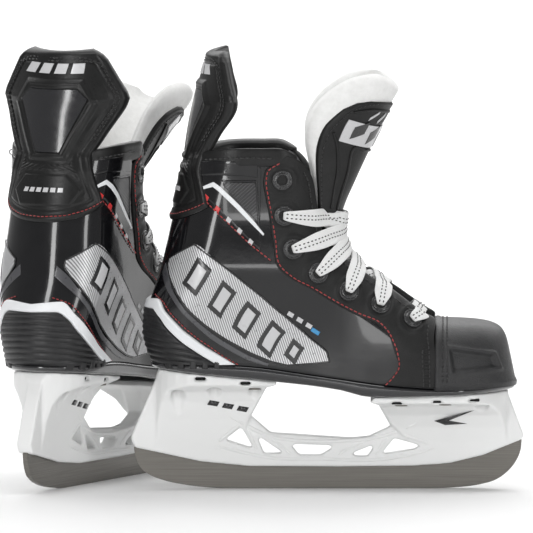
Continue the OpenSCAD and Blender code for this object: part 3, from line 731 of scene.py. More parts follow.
def facings(side):
    def swell(x, z):
        height = np.zeros_like(x)
        for ex, ez in EYELETS:
            d = np.hypot(x - ex, z - ez)
            height += 0.5 * np.exp(-((d - 7.0) / 1.0) ** 2) - 0.35 * np.exp(-(d / 4.6) ** 4)
        return height

    part = both_flanks(FACING, 0.0, 1.3, step=0.8, edge=0.8, sink=0.4, relief=swell, deep_top=4.2)
    build("facings", part, "leather", side, "matte_leather", stands_for=["facings"])
    red = join([
        seam(inset_line(FACING, 1.7, None, 1), 1.45),
        seam([(-85.2, 148.2), (-78.5, 155.3), (-70.1, 160.9), (-66.5, 159.8), (-55.5, 148.8),
              (-41.5, 135.5), (-30.6, 127)], 0.75, smooth=False),
        seam([(-94, 107.4), (-89.6, 103.6), (-84.6, 96.6), (-76, 88.2), (-65.5, 80.4),
              (-52, 71.4), (-49, 69.8)], 0.55, pitch=2.3, length=1.6, radius=0.3),
    ])
    build("red_stitching", red, "red", side, "matte_leather")
    black = join([
        seam(inset_line(FACING, None, 3.4, 2, 15), 1.42, pitch=3.1, length=2.3, radius=0.4),
        seam([(55.6, 58.2), (55.4, 68), (55, 78), (54.2, 90)], 1.45, pitch=2.6, length=1.9),
        seam([(52.2, 58.4), (52, 68), (51.6, 79)], 1.45, pitch=2.6, length=1.9),
        seam([(-66, 182.2), (-56, 183.6), (-40, 184.3), (-30, 183.8)], 2.4, pitch=3, length=2.2),
    ])
    build("black_stitching", black, "black_thread", side, "matte_leather")
    strip = [groove_tube([(52.7, z), (53.9, z), (55.1, z)], 1.3, 0.42, smooth=False)
             for z in 59.6 + 1.75 * np.arange(13)]
    build("vamp_ribs", join(strip), "leather", side, "matte_leather")


def ankle_panel(side):
    panel = [((-84.5, 150.5), (-76.2, 179.4)), ((-78.6, 156), (-69.5, 180.4)),
             ((-70.1, 161.8), (-60, 181.5)), ((-65.9, 160.4), (-53, 182)),
             ((-55.5, 150), (-46, 182.2)), ((-45, 140.2), (-40, 182)),
             ((-36.5, 131.8), (-36.6, 178))]
    part = both_flanks(panel, 0.0, 0.75, step=1.2, edge=0.7)
    build("ankle_panel", part, "patent", side, "patent_black", stands_for=["ankle_overlay"])
    collar_panel = [((-70.5, 172.8), (-70.5, 181)), ((-60, 174), (-60, 182)),
                    ((-48, 174), (-48, 182.4)), ((-38.6, 173), (-38.4, 182.2))]
    part = both_flanks(collar_panel, 0.6, 0.65, step=1.4, edge=0.6)
    build("collar_panel", part, "patent", side, "patent_black")
    stripe = [((-78.3, 159.6), (-77.6, 161.4)), ((-73.5, 163), (-72.6, 165)),
              ((-66, 166.6), (-65.2, 169)), ((-62.6, 167.6), (-62.2, 170.4)),
              ((-59.4, 165), (-58.2, 167.6)), ((-50, 155.8), (-48.4, 158)),
              ((-42, 147.6), (-40.6, 149.4)), ((-35.4, 141), (-34.8, 142))]
    part = both_flanks(stripe, 0.6, 0.45, step=0.8, edge=0.35, smooth=False)
    build("ankle_stripe", part, "band", side, "band_white", stands_for=["ankle_stripe"])
    tip = [((-84, 156.2), (-83.6, 157.6)), ((-79, 159.2), (-78.4, 161))]
    build("stripe_tip", both_flanks(tip, 0.6, 0.45, step=0.8, edge=0.3), "accent_red", side,
          "band_white")
    ribs = [((-57.4, 169), (-57, 170.4)), ((-50, 160.6), (-49, 170.4)),
            ((-44, 154), (-42.6, 170.4)), ((-37.2, 147), (-38.6, 170))]
    build("ribbed_corner", both_flanks(ribs, 0.55, 0.5, step=0.8, edge=0.5), "ribs", side,
          "patent_black")
    frame_line = [(-37.9, 146.6), (-39.2, 171), (-57.6, 171.2)]
    build("ribbed_corner_edge", groove_tube(frame_line, 1.05, 0.55, smooth=False), "patent",
          side, slot="patent_black")
    dashes = []
    for k in range(5):
        x, z = -68 + 6.0 * k, 163.4 - 6.0 * k
        dash = [((x, z - 1.9), (x + 1.3, z + 0.4)), ((x + 2.1, z - 3.9), (x + 3.4, z - 1.6))]
        dashes.append(both_flanks(dash, 0.6, 0.3, step=0.6, edge=0.25))
    build("dashes_red", join(dashes[:2]), "accent_red", side, "band_white")
    build("dashes_pale", join(dashes[2:]), "silver", side, "silver_film")


def heel(side):
    cup = [rise(-94, (-98.9, 99.4)), rise(-92, (-95.4, 99.6)), rise(-85, (-88.4, 90.4)),
           rise(-75, (-77.6, 80.6)), rise(-66, (-67.3, 73.4)), rise(-61, (-60.5, 69.6))]

    def ribs(x, z):
        return 0.85 * np.abs(np.sin(math.pi * (z + 0.16 * x) / 3.1)) ** 0.7 - 0.4

    part = patch(cup, 0.0, 1.7, step=0.45, edge=0.8, relief=ribs)
    build("heel_cup", part, "rubber", side, "heel_rubber", stands_for=["heel_cup"])
    band = [((-98.9, 99), (-98.4, 103.6)), ((-95.2, 99.4), (-92.5, 105.2)),
            ((-91.2, 95.2), (-88.6, 98.6)), ((-88, 90.4), (-84.2, 94)),
            ((-82.6, 84.8), (-79, 88.8)), ((-77.1, 80.2), (-73.3, 84.4)),
            ((-71, 76), (-67.4, 80)), ((-65.5, 72.6), (-61, 76.2)), ((-60.5, 69.6), (-50.5, 69.8))]
    part = patch(band, 0.3, 1.7, step=0.7, edge=0.9)
    build("heel_band", part, "band", side, "band_white", stands_for=["heel_band"])
    lugs = [both_flanks([((x, 67.6), (x, 72.2)), ((x + 3.4, 67.4), (x + 3.4, 71.6))],
                        0.6, 1.4, step=0.6, edge=0.5) for x in -88 + 6.4 * np.arange(5)]
    build("heel_lugs", join(lugs), "rubber", side, "heel_rubber")


BADGE = [((-87.2, 123.4), (-86.2, 127.4)), ((-86.4, 118.5), (-80, 131.8)),
         ((-83, 110), (-72.8, 136)), ((-76.4, 100.4), (-60, 126.6)), ((-67, 91.6), (-48, 117)),
         ((-55, 83.4), (-36, 107.3)), ((-42, 76.2), (-24.5, 97.5)), ((-31, 71.6), (-13, 87.6)),
         ((-22.2, 69.6), (-5, 80.9)), ((-8, 70.7), (-1.4, 78)), ((0.8, 71.9), (-0.6, 76.8))]


def badge_bar(at, lean, half_len, half_wide):
    """A slanted block on the badge: at is its middle, in the side view."""
    run = unit(np.array([0.73, -0.68]))
    up = unit(np.array([0.50 + lean, 0.86]))
    c = np.array(at)
    corner = lambda i, j: tuple(c + run * half_len * i + up * half_wide * j)
    return [(corner(-1, -1), corner(-1, 1)), (corner(0, -1), corner(0, 1)), (corner(1, -1), corner(1, 1))]


def badges(side):
    build("badge_field", both_flanks(BADGE, 0.0, 0.5, step=1.0, edge=0.45), "hatch", side,
          slot="silver_film", stands_for=["side_badges"])
    under = [((-90.3, 119), (-88.6, 124.5)), ((-88.8, 112.6), (-87.4, 120)),
             ((-83.6, 103.6), (-83.9, 108.6)), ((-76, 94.6), (-76.8, 98.8)),
             ((-66, 85.6), (-67.2, 90)), ((-54, 77.6), (-55.4, 81.8)),
             ((-42, 71.6), (-42.6, 74.8)), ((-33, 69), (-32.4, 70.6))]
    build("badge_shadow", both_flanks(under, 0.0, 0.4, step=1.0, edge=0.4), "badge_dark",
          side, slot="silver_film")
    blocks, faces = [], []
    for at, length in (((-71.5, 118.5), 5.2), ((-58, 106), 5.2), ((-44.5, 94.5), 5.2), ((-31, 84), 5.2),
                       ((-18.5, 77.2), 4.2)):
        tall = 8.6 if at[0] < -25 else 5.4
        blocks.append(both_flanks(badge_bar(at, 0.0, length, tall), 0.45, 0.3, step=1.1, edge=0.3,
                                  smooth=False))
        faces.append(both_flanks(badge_bar(at, 0.0, length - 2.3, tall - 2.6), 0.7, 0.3, step=1.1,
                                 edge=0.25, smooth=False))
    build("badge_blocks", join(blocks), "ink", side, "silver_film")
    build("badge_faces", join(faces), "silver", side, "silver_film")
    outline = [a for a, _ in BADGE] + [b for _, b in BADGE[::-1]] + [BADGE[0][0]]
    build("badge_outline", groove_tube(outline, 0.45, 0.5, smooth=False, flat=0.5), "ink", side,
          "silver_film")
    dash = [((-9.6, 88.6), (-8.4, 90.6)), ((-5.4, 86.0), (-4.2, 88))]
    build("blue_dash", both_flanks(dash, 0.0, 0.35, step=0.6, edge=0.3), "blue", side,
          "silver_film")
    marks = [both_flanks([((-22.5 + 5 * k, 97.4 - 3.1 * k), (-21.3 + 5 * k, 99.6 - 3.1 * k)),
                          ((-19.5 + 5 * k, 95.6 - 3.1 * k), (-18.3 + 5 * k, 97.8 - 3.1 * k))],
                         0.0, 0.3, step=0.6, edge=0.25) for k in range(3)]
    build("pale_dashes", join(marks), "silver", side, "silver_film")


# ---- Collar ----------------------------------------------------------------
def collar(side):
    """A padded rim rolled over the top of the boot."""
    top = along([(to_s(-77.6, 180.5), 182.0), (to_s(-70, 183), 184.2), (to_s(-58, 186), 186.3),
                 (to_s(-36, 187), 187.0), (to_s(-24.5, 187), 186.6), (to_s(-17, 184), 183.6)], 70)
    top = np.concatenate([top[:0:-1] * [-1, 1], top])
    base = around(top[:, 0], top[:, 1])
    out = normal_at(top[:, 0], top[:, 1] - 4)
    out[:, 2] = 0
    out = unit(out)
    angle = np.linspace(0, 2 * math.pi, 28, endpoint=False)
    wide = np.where(np.cos(angle) > 0, 0.9, 7.4) * bulge(np.cos(angle), 0.7)
    tall = 4.2 * bulge(np.sin(angle), 0.7) - 2.2
    tall = np.where(np.sin(angle) > 0, tall, tall * 1.25)
    fade = np.ones(len(top))
    fade[:9] = 0.35 + 0.65 * np.sqrt(np.linspace(0, 1, 9))
    fade[-9:] = fade[:9][::-1]
    rings = base[:, None] + fade[:, None, None] * (
        wide[None, :, None] * out[:, None] + tall[None, :, None] * np.array([0, 0, 1.0]))
    build("collar_rim", loft(rings), "collar", side, "matte_leather", stands_for=["collar"])


# ---- Toe cap ---------------------------------------------------------------
TOE_START, TOE_LEN, TOE_LEAN = 57.6, 43.9, 0.2
RECESS = np.array([(66.2, 79.6), (68.4, 66.2), (93.4, 68.6), (90.4, 75.8)])


def toe_point(turn, arch, off):
    """A place on the toe cap: turn runs from its rear rim to the tip, arch over it from side to side."""
    c, s = np.maximum(np.cos(turn), 1e-4), np.sin(turn)
    x = TOE_START + (TOE_LEN + off) * s
    half = (36.4 + off) * c ** 0.7
    top = (35.4 + off) * c ** 0.2
    cos_a, sin_a = np.cos(arch), np.maximum(np.sin(arch), 1e-6)
    y = -half * bulge(cos_a, 0.62)
    up = top * sin_a ** 0.62
    return np.stack([x - TOE_LEAN * up * s ** 3, y, sole_z(x) + up], -1)


def polygon_depth(x, z, polygon):
    """How far inside a convex polygon each place is."""
    depth = np.full(np.shape(x), 1e9)
    centre = polygon.mean(0)
    for a, b in zip(polygon, np.roll(polygon, -1, axis=0)):
        n = unit(np.array([b[1] - a[1], a[0] - b[0]]))
        n = n if (centre - a) @ n > 0 else -n
        depth = np.minimum(depth, (x - a[0]) * n[0] + (z - a[1]) * n[1])
    return depth


def toe_cap(side):
    turn = math.pi / 2 * (1 - (1 - np.linspace(0, 1, 100)) ** 1.5)[:, None] * np.ones(121)
    arch = np.linspace(0, math.pi, 121) * np.ones((100, 1))
    flat = toe_point(turn, arch, 1.4)
    inside = polygon_depth(flat[..., 0], flat[..., 2], RECESS)
    dent = -1.9 * ease(inside / 1.2) + 0.9 * np.exp(-((inside + 0.8) / 0.8) ** 2)
    rim = 0.9 * np.exp(-((flat[..., 0] - 60.2) / 1.3) ** 2)
    edge = -1.2 * (1 - ease((flat[..., 0] - 57.6) / 1.0))
    lip = 0.7 * np.exp(-((flat[..., 2] - sole_z(flat[..., 0]) - 1.5) / 1.2) ** 2)
    outer = toe_point(turn, arch, 1.4)
    normal = unit(outer - np.array([66.0, 0, 66.0]))
    outer = outer + (dent + rim + edge + lip)[..., None] * normal
    inner = toe_point(turn, arch, -1.6)
    build("toe_cap", sheet(outer, inner), "toe", side, "toe_plastic", stands_for=["toe_cap"])
    arc = np.linspace(0.03, math.pi - 0.03, 220)
    paths = [toe_point(np.full_like(arc, turn_at), arc, 1.75) for turn_at in (0.115, 0.165)]
    threads = [stitches(path, unit(path - np.array([62.0, 0, 62.0])), pitch=2.6) for path in paths]
    build("toe_stitching", join(threads), "black_thread", side, "toe_plastic")


# ---- Sole and blade --------------------------------------------------------
def sole_outline(grow, count=150):
    """A loop around the sole, from above."""
    angle = np.linspace(0, 2 * math.pi, count, endpoint=False)
    x = 2.6 + (98.4 + grow) * bulge(np.cos(angle), 0.8)
    heel = np.sqrt(np.clip(1 - ((-66 - x) / (29.9 + grow)).clip(0) ** 2, 0, 1))
    toe = np.sqrt(np.clip(1 - ((x - 66) / (35.1 + grow)).clip(0) ** 2.2, 0, 1))
    return x, np.sign(np.sin(angle)) * (plan_half(x) + grow) * heel * toe


def outsole(side):
    rings = []
    for grow, part, drop in ((-6, 1, 0.1), (-0.2, 1, 0.1), (0.6, 0.97, 0), (1.0, 0.8, 0),
                             (0.9, 0.5, 0), (0.2, 0.28, 0), (-1.6, 0.06, 0), (-3.4, 0, 0), (-8, 0, 0)):
        x, y = sole_outline(grow)
        top, low = sole_z(x) + 0.3, under_z(x)
        rings.append(np.stack([x, y, low + (top - low) * part + drop], -1))
    build("outsole", loft(rings), "sole", side, "outsole_gloss", stands_for=["outsole"])


def runner(side):
    """The steel, with its rounded ends and a fine bevel along its edges."""
    low = along([(-106, 22.3), (-105, 16.6), (-102.2, 11.2), (-97.2, 7.3), (-90, 4.5), (-79, 2.1),
                 (-68, 0.7), (-58, 0.05), (0, 0), (58, 0.05), (70, 0.6), (83, 2.2), (92.1, 5),
                 (98.6, 9.8), (102.8, 15.2), (105.2, 21), (105.8, 26.5)], 150)
    low[:, 1] = np.maximum(low[:, 1], 0)
    top_x = np.linspace(104, -104.4, 60)
    edge = np.interp(top_x, [-105.5, -69.4, -42.6, 6.6, 47.5, 66, 84.7, 105.5],
                     [22.6, 14.9, 12.3, 12, 12.6, 13.9, 18.4, 26.9])
    loop = np.concatenate([low, np.stack([top_x, edge + 1.5], -1)])
    centre = loop.mean(0)
    rings = []
    for y, inset in ((-1.5, 0.35), (-1.5, 0.3), (-1.25, 0), (1.25, 0), (1.5, 0.3), (1.5, 0.35)):
        p = loop.copy()
        p[:, 1] += np.sign(centre[1] - p[:, 1]) * inset * (np.abs(p[:, 1] - centre[1]) > 2)
        p[:, 0] -= np.sign(p[:, 0]) * inset * (np.abs(p[:, 0]) > 95)
        rings.append(np.stack([p[:, 0], np.full(len(p), y), p[:, 1]], -1))
    build("runner", loft(rings), "steel", side, "blade_steel", crease=30, stands_for=["runner"])


def moulded(name, source, voxel_mm, passes, look, side):
    """A moulded copy of a CAD node, its edges rounded by remeshing and relaxing it."""
    copy = bpy.data.objects.new(f"{side}_{name}", frame["nodes"][source].data.copy())
    bpy.context.scene.collection.objects.link(copy)
    remesh = copy.modifiers.new("remesh", "REMESH")
    remesh.mode = "VOXEL"
    remesh.voxel_size = voxel_mm * MM
    relax = copy.modifiers.new("relax", "SMOOTH")
    relax.iterations = passes
    relax.factor = 0.5
    graph = bpy.context.evaluated_depsgraph_get()
    mesh = bpy.data.meshes.new_from_object(copy.evaluated_get(graph))
    copy.modifiers.clear()
    copy.data = mesh
    mesh.shade_smooth()
    mesh.materials.clear()
    mesh.materials.append(MAT[look])
    back = np.array(PLACE[side].inverted())
    co = np.zeros(len(mesh.vertices) * 3)
    mesh.vertices.foreach_get("co", co)
    local = (co.reshape(-1, 3) @ back[:3, :3].T + back[:3, 3]) / MM
    spot = mesh.attributes.new("local_mm", "FLOAT_VECTOR", "POINT")
    spot.data.foreach_set("vector", local.astype(np.float32).ravel())
    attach(copy, "skates")
    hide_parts(source)
    return copy


SLOTS = [(-69.8, 61.5), (-45.1, 59), (37.6, 49), (59.6, 49.8), (79.9, 50.6)]
SLOT_OUTLINE = np.array([(-3, 0), (-2.6, 0.8), (2.6, 0.8), (3, 0), (2.6, -0.8), (-2.6, -0.8)])
BRIDGE_HALF = 4.4
BRIDGE_MIDDLE, BRIDGE_REACH = -2, 44
# Moulded ribs of the bridge, each a line in the side view and a radius.
RIBS = [([(-60, 46.5), (-53, 39.6), (-46, 35.8), (-39, 31.8), (-30, 28.4), (-20, 26.8), (5, 26.2),
          (26, 28), (38, 31.6), (56, 40.5)], 1.2),
        ([(-72, 28.5), (-60, 23.6), (-48, 20.4), (-34, 17.4), (0, 16.2), (22, 15.7), (36, 17),
          (50, 19.8), (66, 25)], 1.1)] + \
    [(line, 1.0) for line in (
        [(-45.4, 35.4), (-41.6, 27.4), (-38, 19.4)], [(-35, 29.6), (-25, 23.2), (-18.8, 17.4)],
        [(22, 27), (12, 22.4), (3.4, 17.6)], [(33, 29.4), (29, 23.6), (25.2, 17.2)],
        [(37, 31), (47, 27.6), (57, 24)], [(-47, 36), (-54, 30.8), (-61, 25)])]


def rib(line, radius, flank, count=60):
    """A rib that lies on the bridge, and on the tower where it reaches one, with thin ends."""
    p = along(line, count)
    on_bridge = np.abs(p[:, 0] - BRIDGE_MIDDLE) < BRIDGE_REACH
    y = np.where(on_bridge, BRIDGE_HALF, np.maximum(BRIDGE_HALF, tower_half(p[:, 0], p[:, 1])))
    path = np.stack([p[:, 0], flank * (y - 0.35), p[:, 1]], -1)
    ends = np.minimum(np.linspace(0, 1, count), np.linspace(1, 0, count))
    return tube(path, radius * np.clip(ends * 6, 0.15, 1), [[0, flank, 0]] * count, 12, 0.8)


def slot_mouth_shade(x, z, flank):
    """A near-black plug in the mouth of a slot under the flange, 1.5 mm deep: painted shade in the recess."""
    ring = SLOT_OUTLINE + [x, z]
    y = flank * (18.6 if x < 0 else 27.6)
    return loft([np.insert(ring, 1, at, axis=1) for at in (y - flank * 1.5, y)])


def holder(side):
    moulded("blade_holder", f"{side}_holder", 0.8, 5, "holder", side)
    marks = []
    for flank in FLANKS:
        for k in range(3):
            corners = np.array([(0, 0), (5.4, -1), (6.8, 1.6), (1.4, 2.6)]) + [-66 + 8 * k, 46.5 - 1.6 * k]
            marks.append(flank_plate(corners, flank))
        marks.append(flank_plate([(58, 37.6), (80, 44), (66, 37.8), (76, 36), (64, 35.2)], flank))
    build("holder_marks", join(marks), "ink", side, "holder_plastic")
    ribs = [rib(line, radius, flank) for flank in FLANKS for line, radius in RIBS]
    slot_shades = [slot_mouth_shade(x, z, flank) for flank in FLANKS for x, z in SLOTS]
    build("holder_ribs", join(ribs), "holder", side, "holder_plastic")
    # Near-black plugs in the slot mouths: painted shade.
    build("holder_slot_shade", join(slot_shades), "dark", side, "holder_plastic")


def tower_half(x, z):
    """Half thickness of the holder's towers, as the CAD node has it."""
    rear = np.interp(z, [16, 26, 38, 48, 54, 58], [BRIDGE_HALF, 4.9, 6.5, 9.5, 13.5, 21])
    front = np.interp(z, [16, 26, 34, 41, 46.5, 49], [BRIDGE_HALF, 4.9, 7, 11, 19, 31])
    return np.where(x < 0, rear, front)


def flank_plate(points, flank):
    """A thin mark that lies on the holder."""
    p = np.array(points, float)
    y = tower_half(p[:, 0], p[:, 1])
    rings = [np.stack([p[:, 0], flank * (y + off), p[:, 1]], -1) for off in (-0.4, 0.22)]
    return loft(rings)


# ---- Eyelets ---------------------------------------------------------------
def lathe(profile, centre, axis, sides=28):
    """A turned shape: pairs of radius and height along the axis."""
    axis = unit(axis)
    a = unit(np.cross(axis, [0.3, 0.1, 1]))
    b = np.cross(axis, a)
    turn = np.linspace(0, 2 * math.pi, sides, endpoint=False)
    rings = [centre + h * axis + r * (np.cos(turn)[:, None] * a + np.sin(turn)[:, None] * b)
             for r, h in profile]
    return loft(rings)


def eyelet_frame(i, flank):
    x, z = EYELETS[i]
    s = to_s(x, z) * flank
    return around(s, np.array(float(z))), normal_at(s, np.array(float(z)))


def eyelets(side):
    rings, bore_shades = [], []
    for i in range(len(EYELETS)):
        for flank in FLANKS:
            at, up = eyelet_frame(i, flank)
            rings.append(lathe([(2.6, -1.5), (2.5, 0.6), (2.8, 1.5), (3.3, 1.95), (3.9, 1.75),
                                (4.3, 1.35), (4.8, 1.7), (5.3, 1.6), (5.6, 1.2), (5.6, 0.6),
                                (3.4, -1.5)], at, up, 40))
            # A near-black plug filling the eyelet's bore: painted shade inside the hole.
            bore_shades.append(lathe([(0.2, 0.75), (2.55, 0.7), (2.55, -1.4), (0.2, -1.4)], at, up, 20))
            spin = unit(np.cross(up, [0.3, 0.1, 1]))
            for k in range(16):
                a = 2 * math.pi * k / 16
                ray = math.cos(a) * spin + math.sin(a) * np.cross(up, spin)
                rings.append(tube([at + ray * 4.35 + up * 1.4, at + ray * 5.25 + up * 1.55], 0.34,
                                  [up, up], 6))
    build("eyelets", join(rings), "eyelet", side, "eyelet_black", stands_for=["eyelets"])
    build("eyelet_bore_shade", join(bore_shades), "dark", side, "eyelet_black")


# ---- Tongue ----------------------------------------------------------------
# Front middle x and z, side edge x and z, half width, felt thickness.
TONGUE = np.array([
    (61, 86.5, 54, 84, 13, 4), (53, 94.8, 46.5, 91, 15, 4.5), (37.5, 107.8, 31, 103, 15.5, 5),
    (22.5, 118.6, 15, 114.5, 15.5, 5), (12.4, 127.6, 3.6, 124, 15.5, 5),
    (7.4, 137.5, -3.6, 138, 16, 5.5), (7, 147, -5.8, 150.5, 17, 6), (9.6, 156, -7, 163, 18, 6.5),
    (14.6, 167.5, -10, 178.5, 19.5, 7), (19.6, 178.5, -12.4, 192.4, 22, 7.5),
    (24.6, 189, -11, 204, 25.5, 8), (29.8, 199.5, -4, 215, 27.8, 8.6),
    (34.6, 208.6, 6.5, 223, 28.2, 9.2), (38.6, 214.4, 16, 227, 27, 9.6),
    (40.4, 218.2, 25, 228, 23.5, 9.6), (39.4, 221.6, 32, 226.2, 18, 8.6)])
HINGE = {s: np.array(JOINTS[f"{s}_tongue_flex"]["pos_m"]) for s in SIDES}
WRAP = math.radians(84)
RUN = run_length(TONGUE[:, :2])


def up_tongue(z):
    """Place along the tongue, from 0 to 1, where its front middle is at height z."""
    return np.interp(z, TONGUE[:, 1], RUN / RUN[-1])


def tongue_surface(u, phi, depth, lean):
    """Points of the tongue: u along it from 0 to 1, phi across it from -1 to 1."""
    at = np.asarray(u) * RUN[-1]
    x, z, ex, ez, half, _ = (spline(RUN, TONGUE[:, k], at) for k in range(6))
    back = np.stack([ex - x, ez - z], -1)
    deep = np.linalg.norm(back, axis=-1)
    back = back / deep[..., None]
    swing = phi * WRAP
    share = (1 - np.cos(swing)) / (1 - math.cos(WRAP))
    slope = np.hypot(half * np.cos(swing), deep * np.sin(swing))
    y = half * np.sin(swing) / math.sin(WRAP) - depth * deep * np.sin(swing) / slope
    behind = deep * share + depth * half * np.cos(swing) / slope
    px, pz = x + back[..., 0] * behind, z + back[..., 1] * behind
    turn = np.radians(lean) * ease((at - RUN[5]) / (RUN[9] - RUN[5]))
    hx, _, hz = HINGE["right"] / MM
    dx, dz = px - hx, pz - hz
    return np.stack([hx + dx * np.cos(turn) + dz * np.sin(turn), y,
                     hz - dx * np.sin(turn) + dz * np.cos(turn)], -1)


def tongue_grid(u0, u1, spread, depth, lean, rows, cols):
    """spread(u) is the share of the tongue's width; depth(u, edge) the distance behind its front."""
    u, share = down(u0, u1, rows, cols), across(-1, 1, rows, cols)
    ends = np.minimum(u - u0, u1 - u) / (u1 - u0)
    rim = np.minimum(1 - np.abs(share), ends * 6)
    return tongue_surface(u, share * spread(u), depth(u, rim), lean), u


def tongue(side):
    lean = LEFT_LEAN if side == "left" else 0
    felt_t = lambda u: np.interp(u, np.linspace(0, 1, len(TONGUE)), TONGUE[:, 5])
    puff = lambda r: rounded(r / 0.16)
    full = lambda u: np.ones_like(u)
    front, _ = tongue_grid(0, 1, full, lambda u, r: 1.9 + felt_t(u) * 0.5 * (1 - puff(r)), lean, 150, 61)
    back, _ = tongue_grid(0, 1, full,
                          lambda u, r: 1.9 + felt_t(u) * (0.5 + 0.5 * puff(r)), lean, 150, 61)
    felt = build("tongue_felt", sheet(front, back), "felt", side, body=None, slot="felt",
                 stands_for=["tongue_felt_lower", "tongue_felt_upper"])
    narrow = lambda u: np.interp(u, up_tongue(np.array([86.5, 150, 170, 190, 200, 205, 208, 210.2, 211.2])),
                                 [0.97, 0.95, 0.9, 0.83, 0.76, 0.68, 0.56, 0.36, 0.1])
    top = float(up_tongue(211.2))
    thick = lambda u, r: 1.9 - 1.7 * rounded(r / 0.06)
    front, u = tongue_grid(0.0, top, narrow, thick, lean, 170, 61)
    back, _ = tongue_grid(0.0, top, narrow, lambda u, r: np.full_like(u, 2.3), lean, 170, 61)
    cover = build("tongue_cover", sheet(front, back), "cover", side, body=None, slot="matte_leather",
                  stands_for=["tongue_cover_lower", "tongue_cover_upper"])
    pieces = [felt, cover]
    ridges, threads = [], []

    def line(points, off=-0.1):
        p = along(points, 90)
        path = tongue_surface(p[:, 0], p[:, 1], np.full(len(p), off), lean)
        ahead = tongue_surface(p[:, 0], p[:, 1], np.full(len(p), off - 0.5), lean)
        return path, unit(ahead - path)

    for flank in FLANKS:
        for points in ([(152, 0.62), (172, 0.60), (182, 0.66), (188, 0.74)],
                       [(152, 0.44), (172, 0.42), (181, 0.46), (185, 0.24), (185.4, 0.0)],
                       [(200.5, 0.66), (204.5, 0.5), (206.4, 0.24), (206.6, 0.0)]):
            path, out = line([(float(up_tongue(z)), flank * p) for z, p in points])
            ridges.append(tube(path, 0.75, out, flat=0.7))
        edge = [(float(up_tongue(z)), flank * (float(narrow(up_tongue(z))) - 0.07)) for z in
                (140, 150, 160, 170, 180, 188, 194, 199, 203, 206, 208.4)]
        threads.append(stitches(*line(edge, 0.05), pitch=2.6, length=1.9, radius=0.32))
    for name, parts, look in (("ridges", ridges, "cover"), ("stitching", threads, "black_thread")):
        pieces.append(build(f"tongue_{name}", join(parts), look, side, "matte_leather", body=None))
    for piece in pieces:
        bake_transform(piece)
    label(side, lean)


def label(side, lean):
    """The silver label on the tongue, with plain slanted blocks on it."""
    def plate(u0, u1, w0, w1, low, high, rows=24, cols=40):
        u = np.linspace(u0, u1, rows)[:, None] + 0.016 * np.linspace(-1, 1, cols)
        share = across(w0, w1, rows, cols)
        return sheet(tongue_surface(u, share, np.full_like(u, high), lean),
                     tongue_surface(u, share, np.full_like(u, low), lean))

    at = lambda z: float(up_tongue(z))

    def add(name, part, look, **words):
        build(name, part, look, side, "silver_film", body=f"{side}_tongue", crease=40, **words)

    add("tongue_label", plate(at(187.5), at(199), -0.66, 0.66, 0.6, -0.45), "silver",
        stands_for=["tongue_badge"])
    blocks = [plate(at(190.2), at(196.6), w, w + 0.15, 0.2, -0.65, 12, 12)
              for w in np.arange(5) * 0.24 - 0.56]
    add("tongue_label_blocks", join(blocks), "ink")
    bars = [plate(at(201.8), at(203.4), w, w + 0.1, 0.6, -0.2, 5, 8) for w in np.arange(6) * 0.16 - 0.44]
    add("tongue_dashes", join(bars), "silver")


# ---- Tendon guard ----------------------------------------------------------
guard_back = table([(182, -78.6), (195, -76.8), (209, -74.2), (224, -70.6), (238, -66.4), (245, -63.8)])
guard_deep = table([(182, 9.4), (195, 15), (210, 21), (225, 15), (237, 9), (245, 5.5)])
low_reach = table([(146, 37.5), (152, 36), (162, 31.5), (170, 27), (178, 23.8), (183, 23.4)])
GUARD_HALF = [(182, 23.2), (184, 23.6), (188, 26), (208.5, 36.2), (213.5, 37.9), (217, 36.8),
              (234.5, 27), (237, 24.6), (238.8, 21.6), (240, 18.5)]
GUARD_LOW, GUARD_TOP = 147.5, 240.2


def guard_half(z):
    return np.interp(z, *np.array(GUARD_HALF).T)


def guard_surface(z, t, depth):
    """Points of the guard at height z, t from -1 to 1 across it, depth inside its outer face."""
    z, t, depth = np.broadcast_arrays(np.asarray(z, float), t, depth)
    zb = np.minimum(z, 186)
    low = skin(t * low_reach(zb), zb, 1.5 + 1.3 * ease((zb - 166) / 14) - depth)
    free = np.stack([guard_back(z) + guard_deep(z) * t * t + depth,
                     (guard_half(z) - 0.3 * depth) * t, z + 1.2 * t * t], -1)
    blend = ease((z - 174) / 12)[..., None]
    return low * (1 - blend) + free * blend


def guard_line(points, off, count=80, smooth=True):
    """A line on the guard through pairs of height and share of its width."""
    p = along(points, count, smooth)
    path = guard_surface(p[:, 0], p[:, 1], np.full(len(p), -off))
    out = guard_surface(p[:, 0], p[:, 1], np.full(len(p), -off - 0.5))
    return path, unit(out - path)


def mirrored_shape(points):
    """A shape from its half: pairs of height and share of the width."""
    p = [(z, t * float(guard_half(max(z, 182)) if z > 182 else low_reach(z))) for z, t in points]
    return np.array(p + [(z, -y) for z, y in p[::-1]])


GEM = mirrored_shape([(225.2, 0.52), (211.5, 0.68), (180.5, 0.46)])
GEM_PANEL = mirrored_shape([(220.4, 0.40), (214, 0.55), (184.4, 0.30)])
FOOT_GEM = mirrored_shape([(173.4, 0.44), (164.6, 0.66), (156, 0.42)])


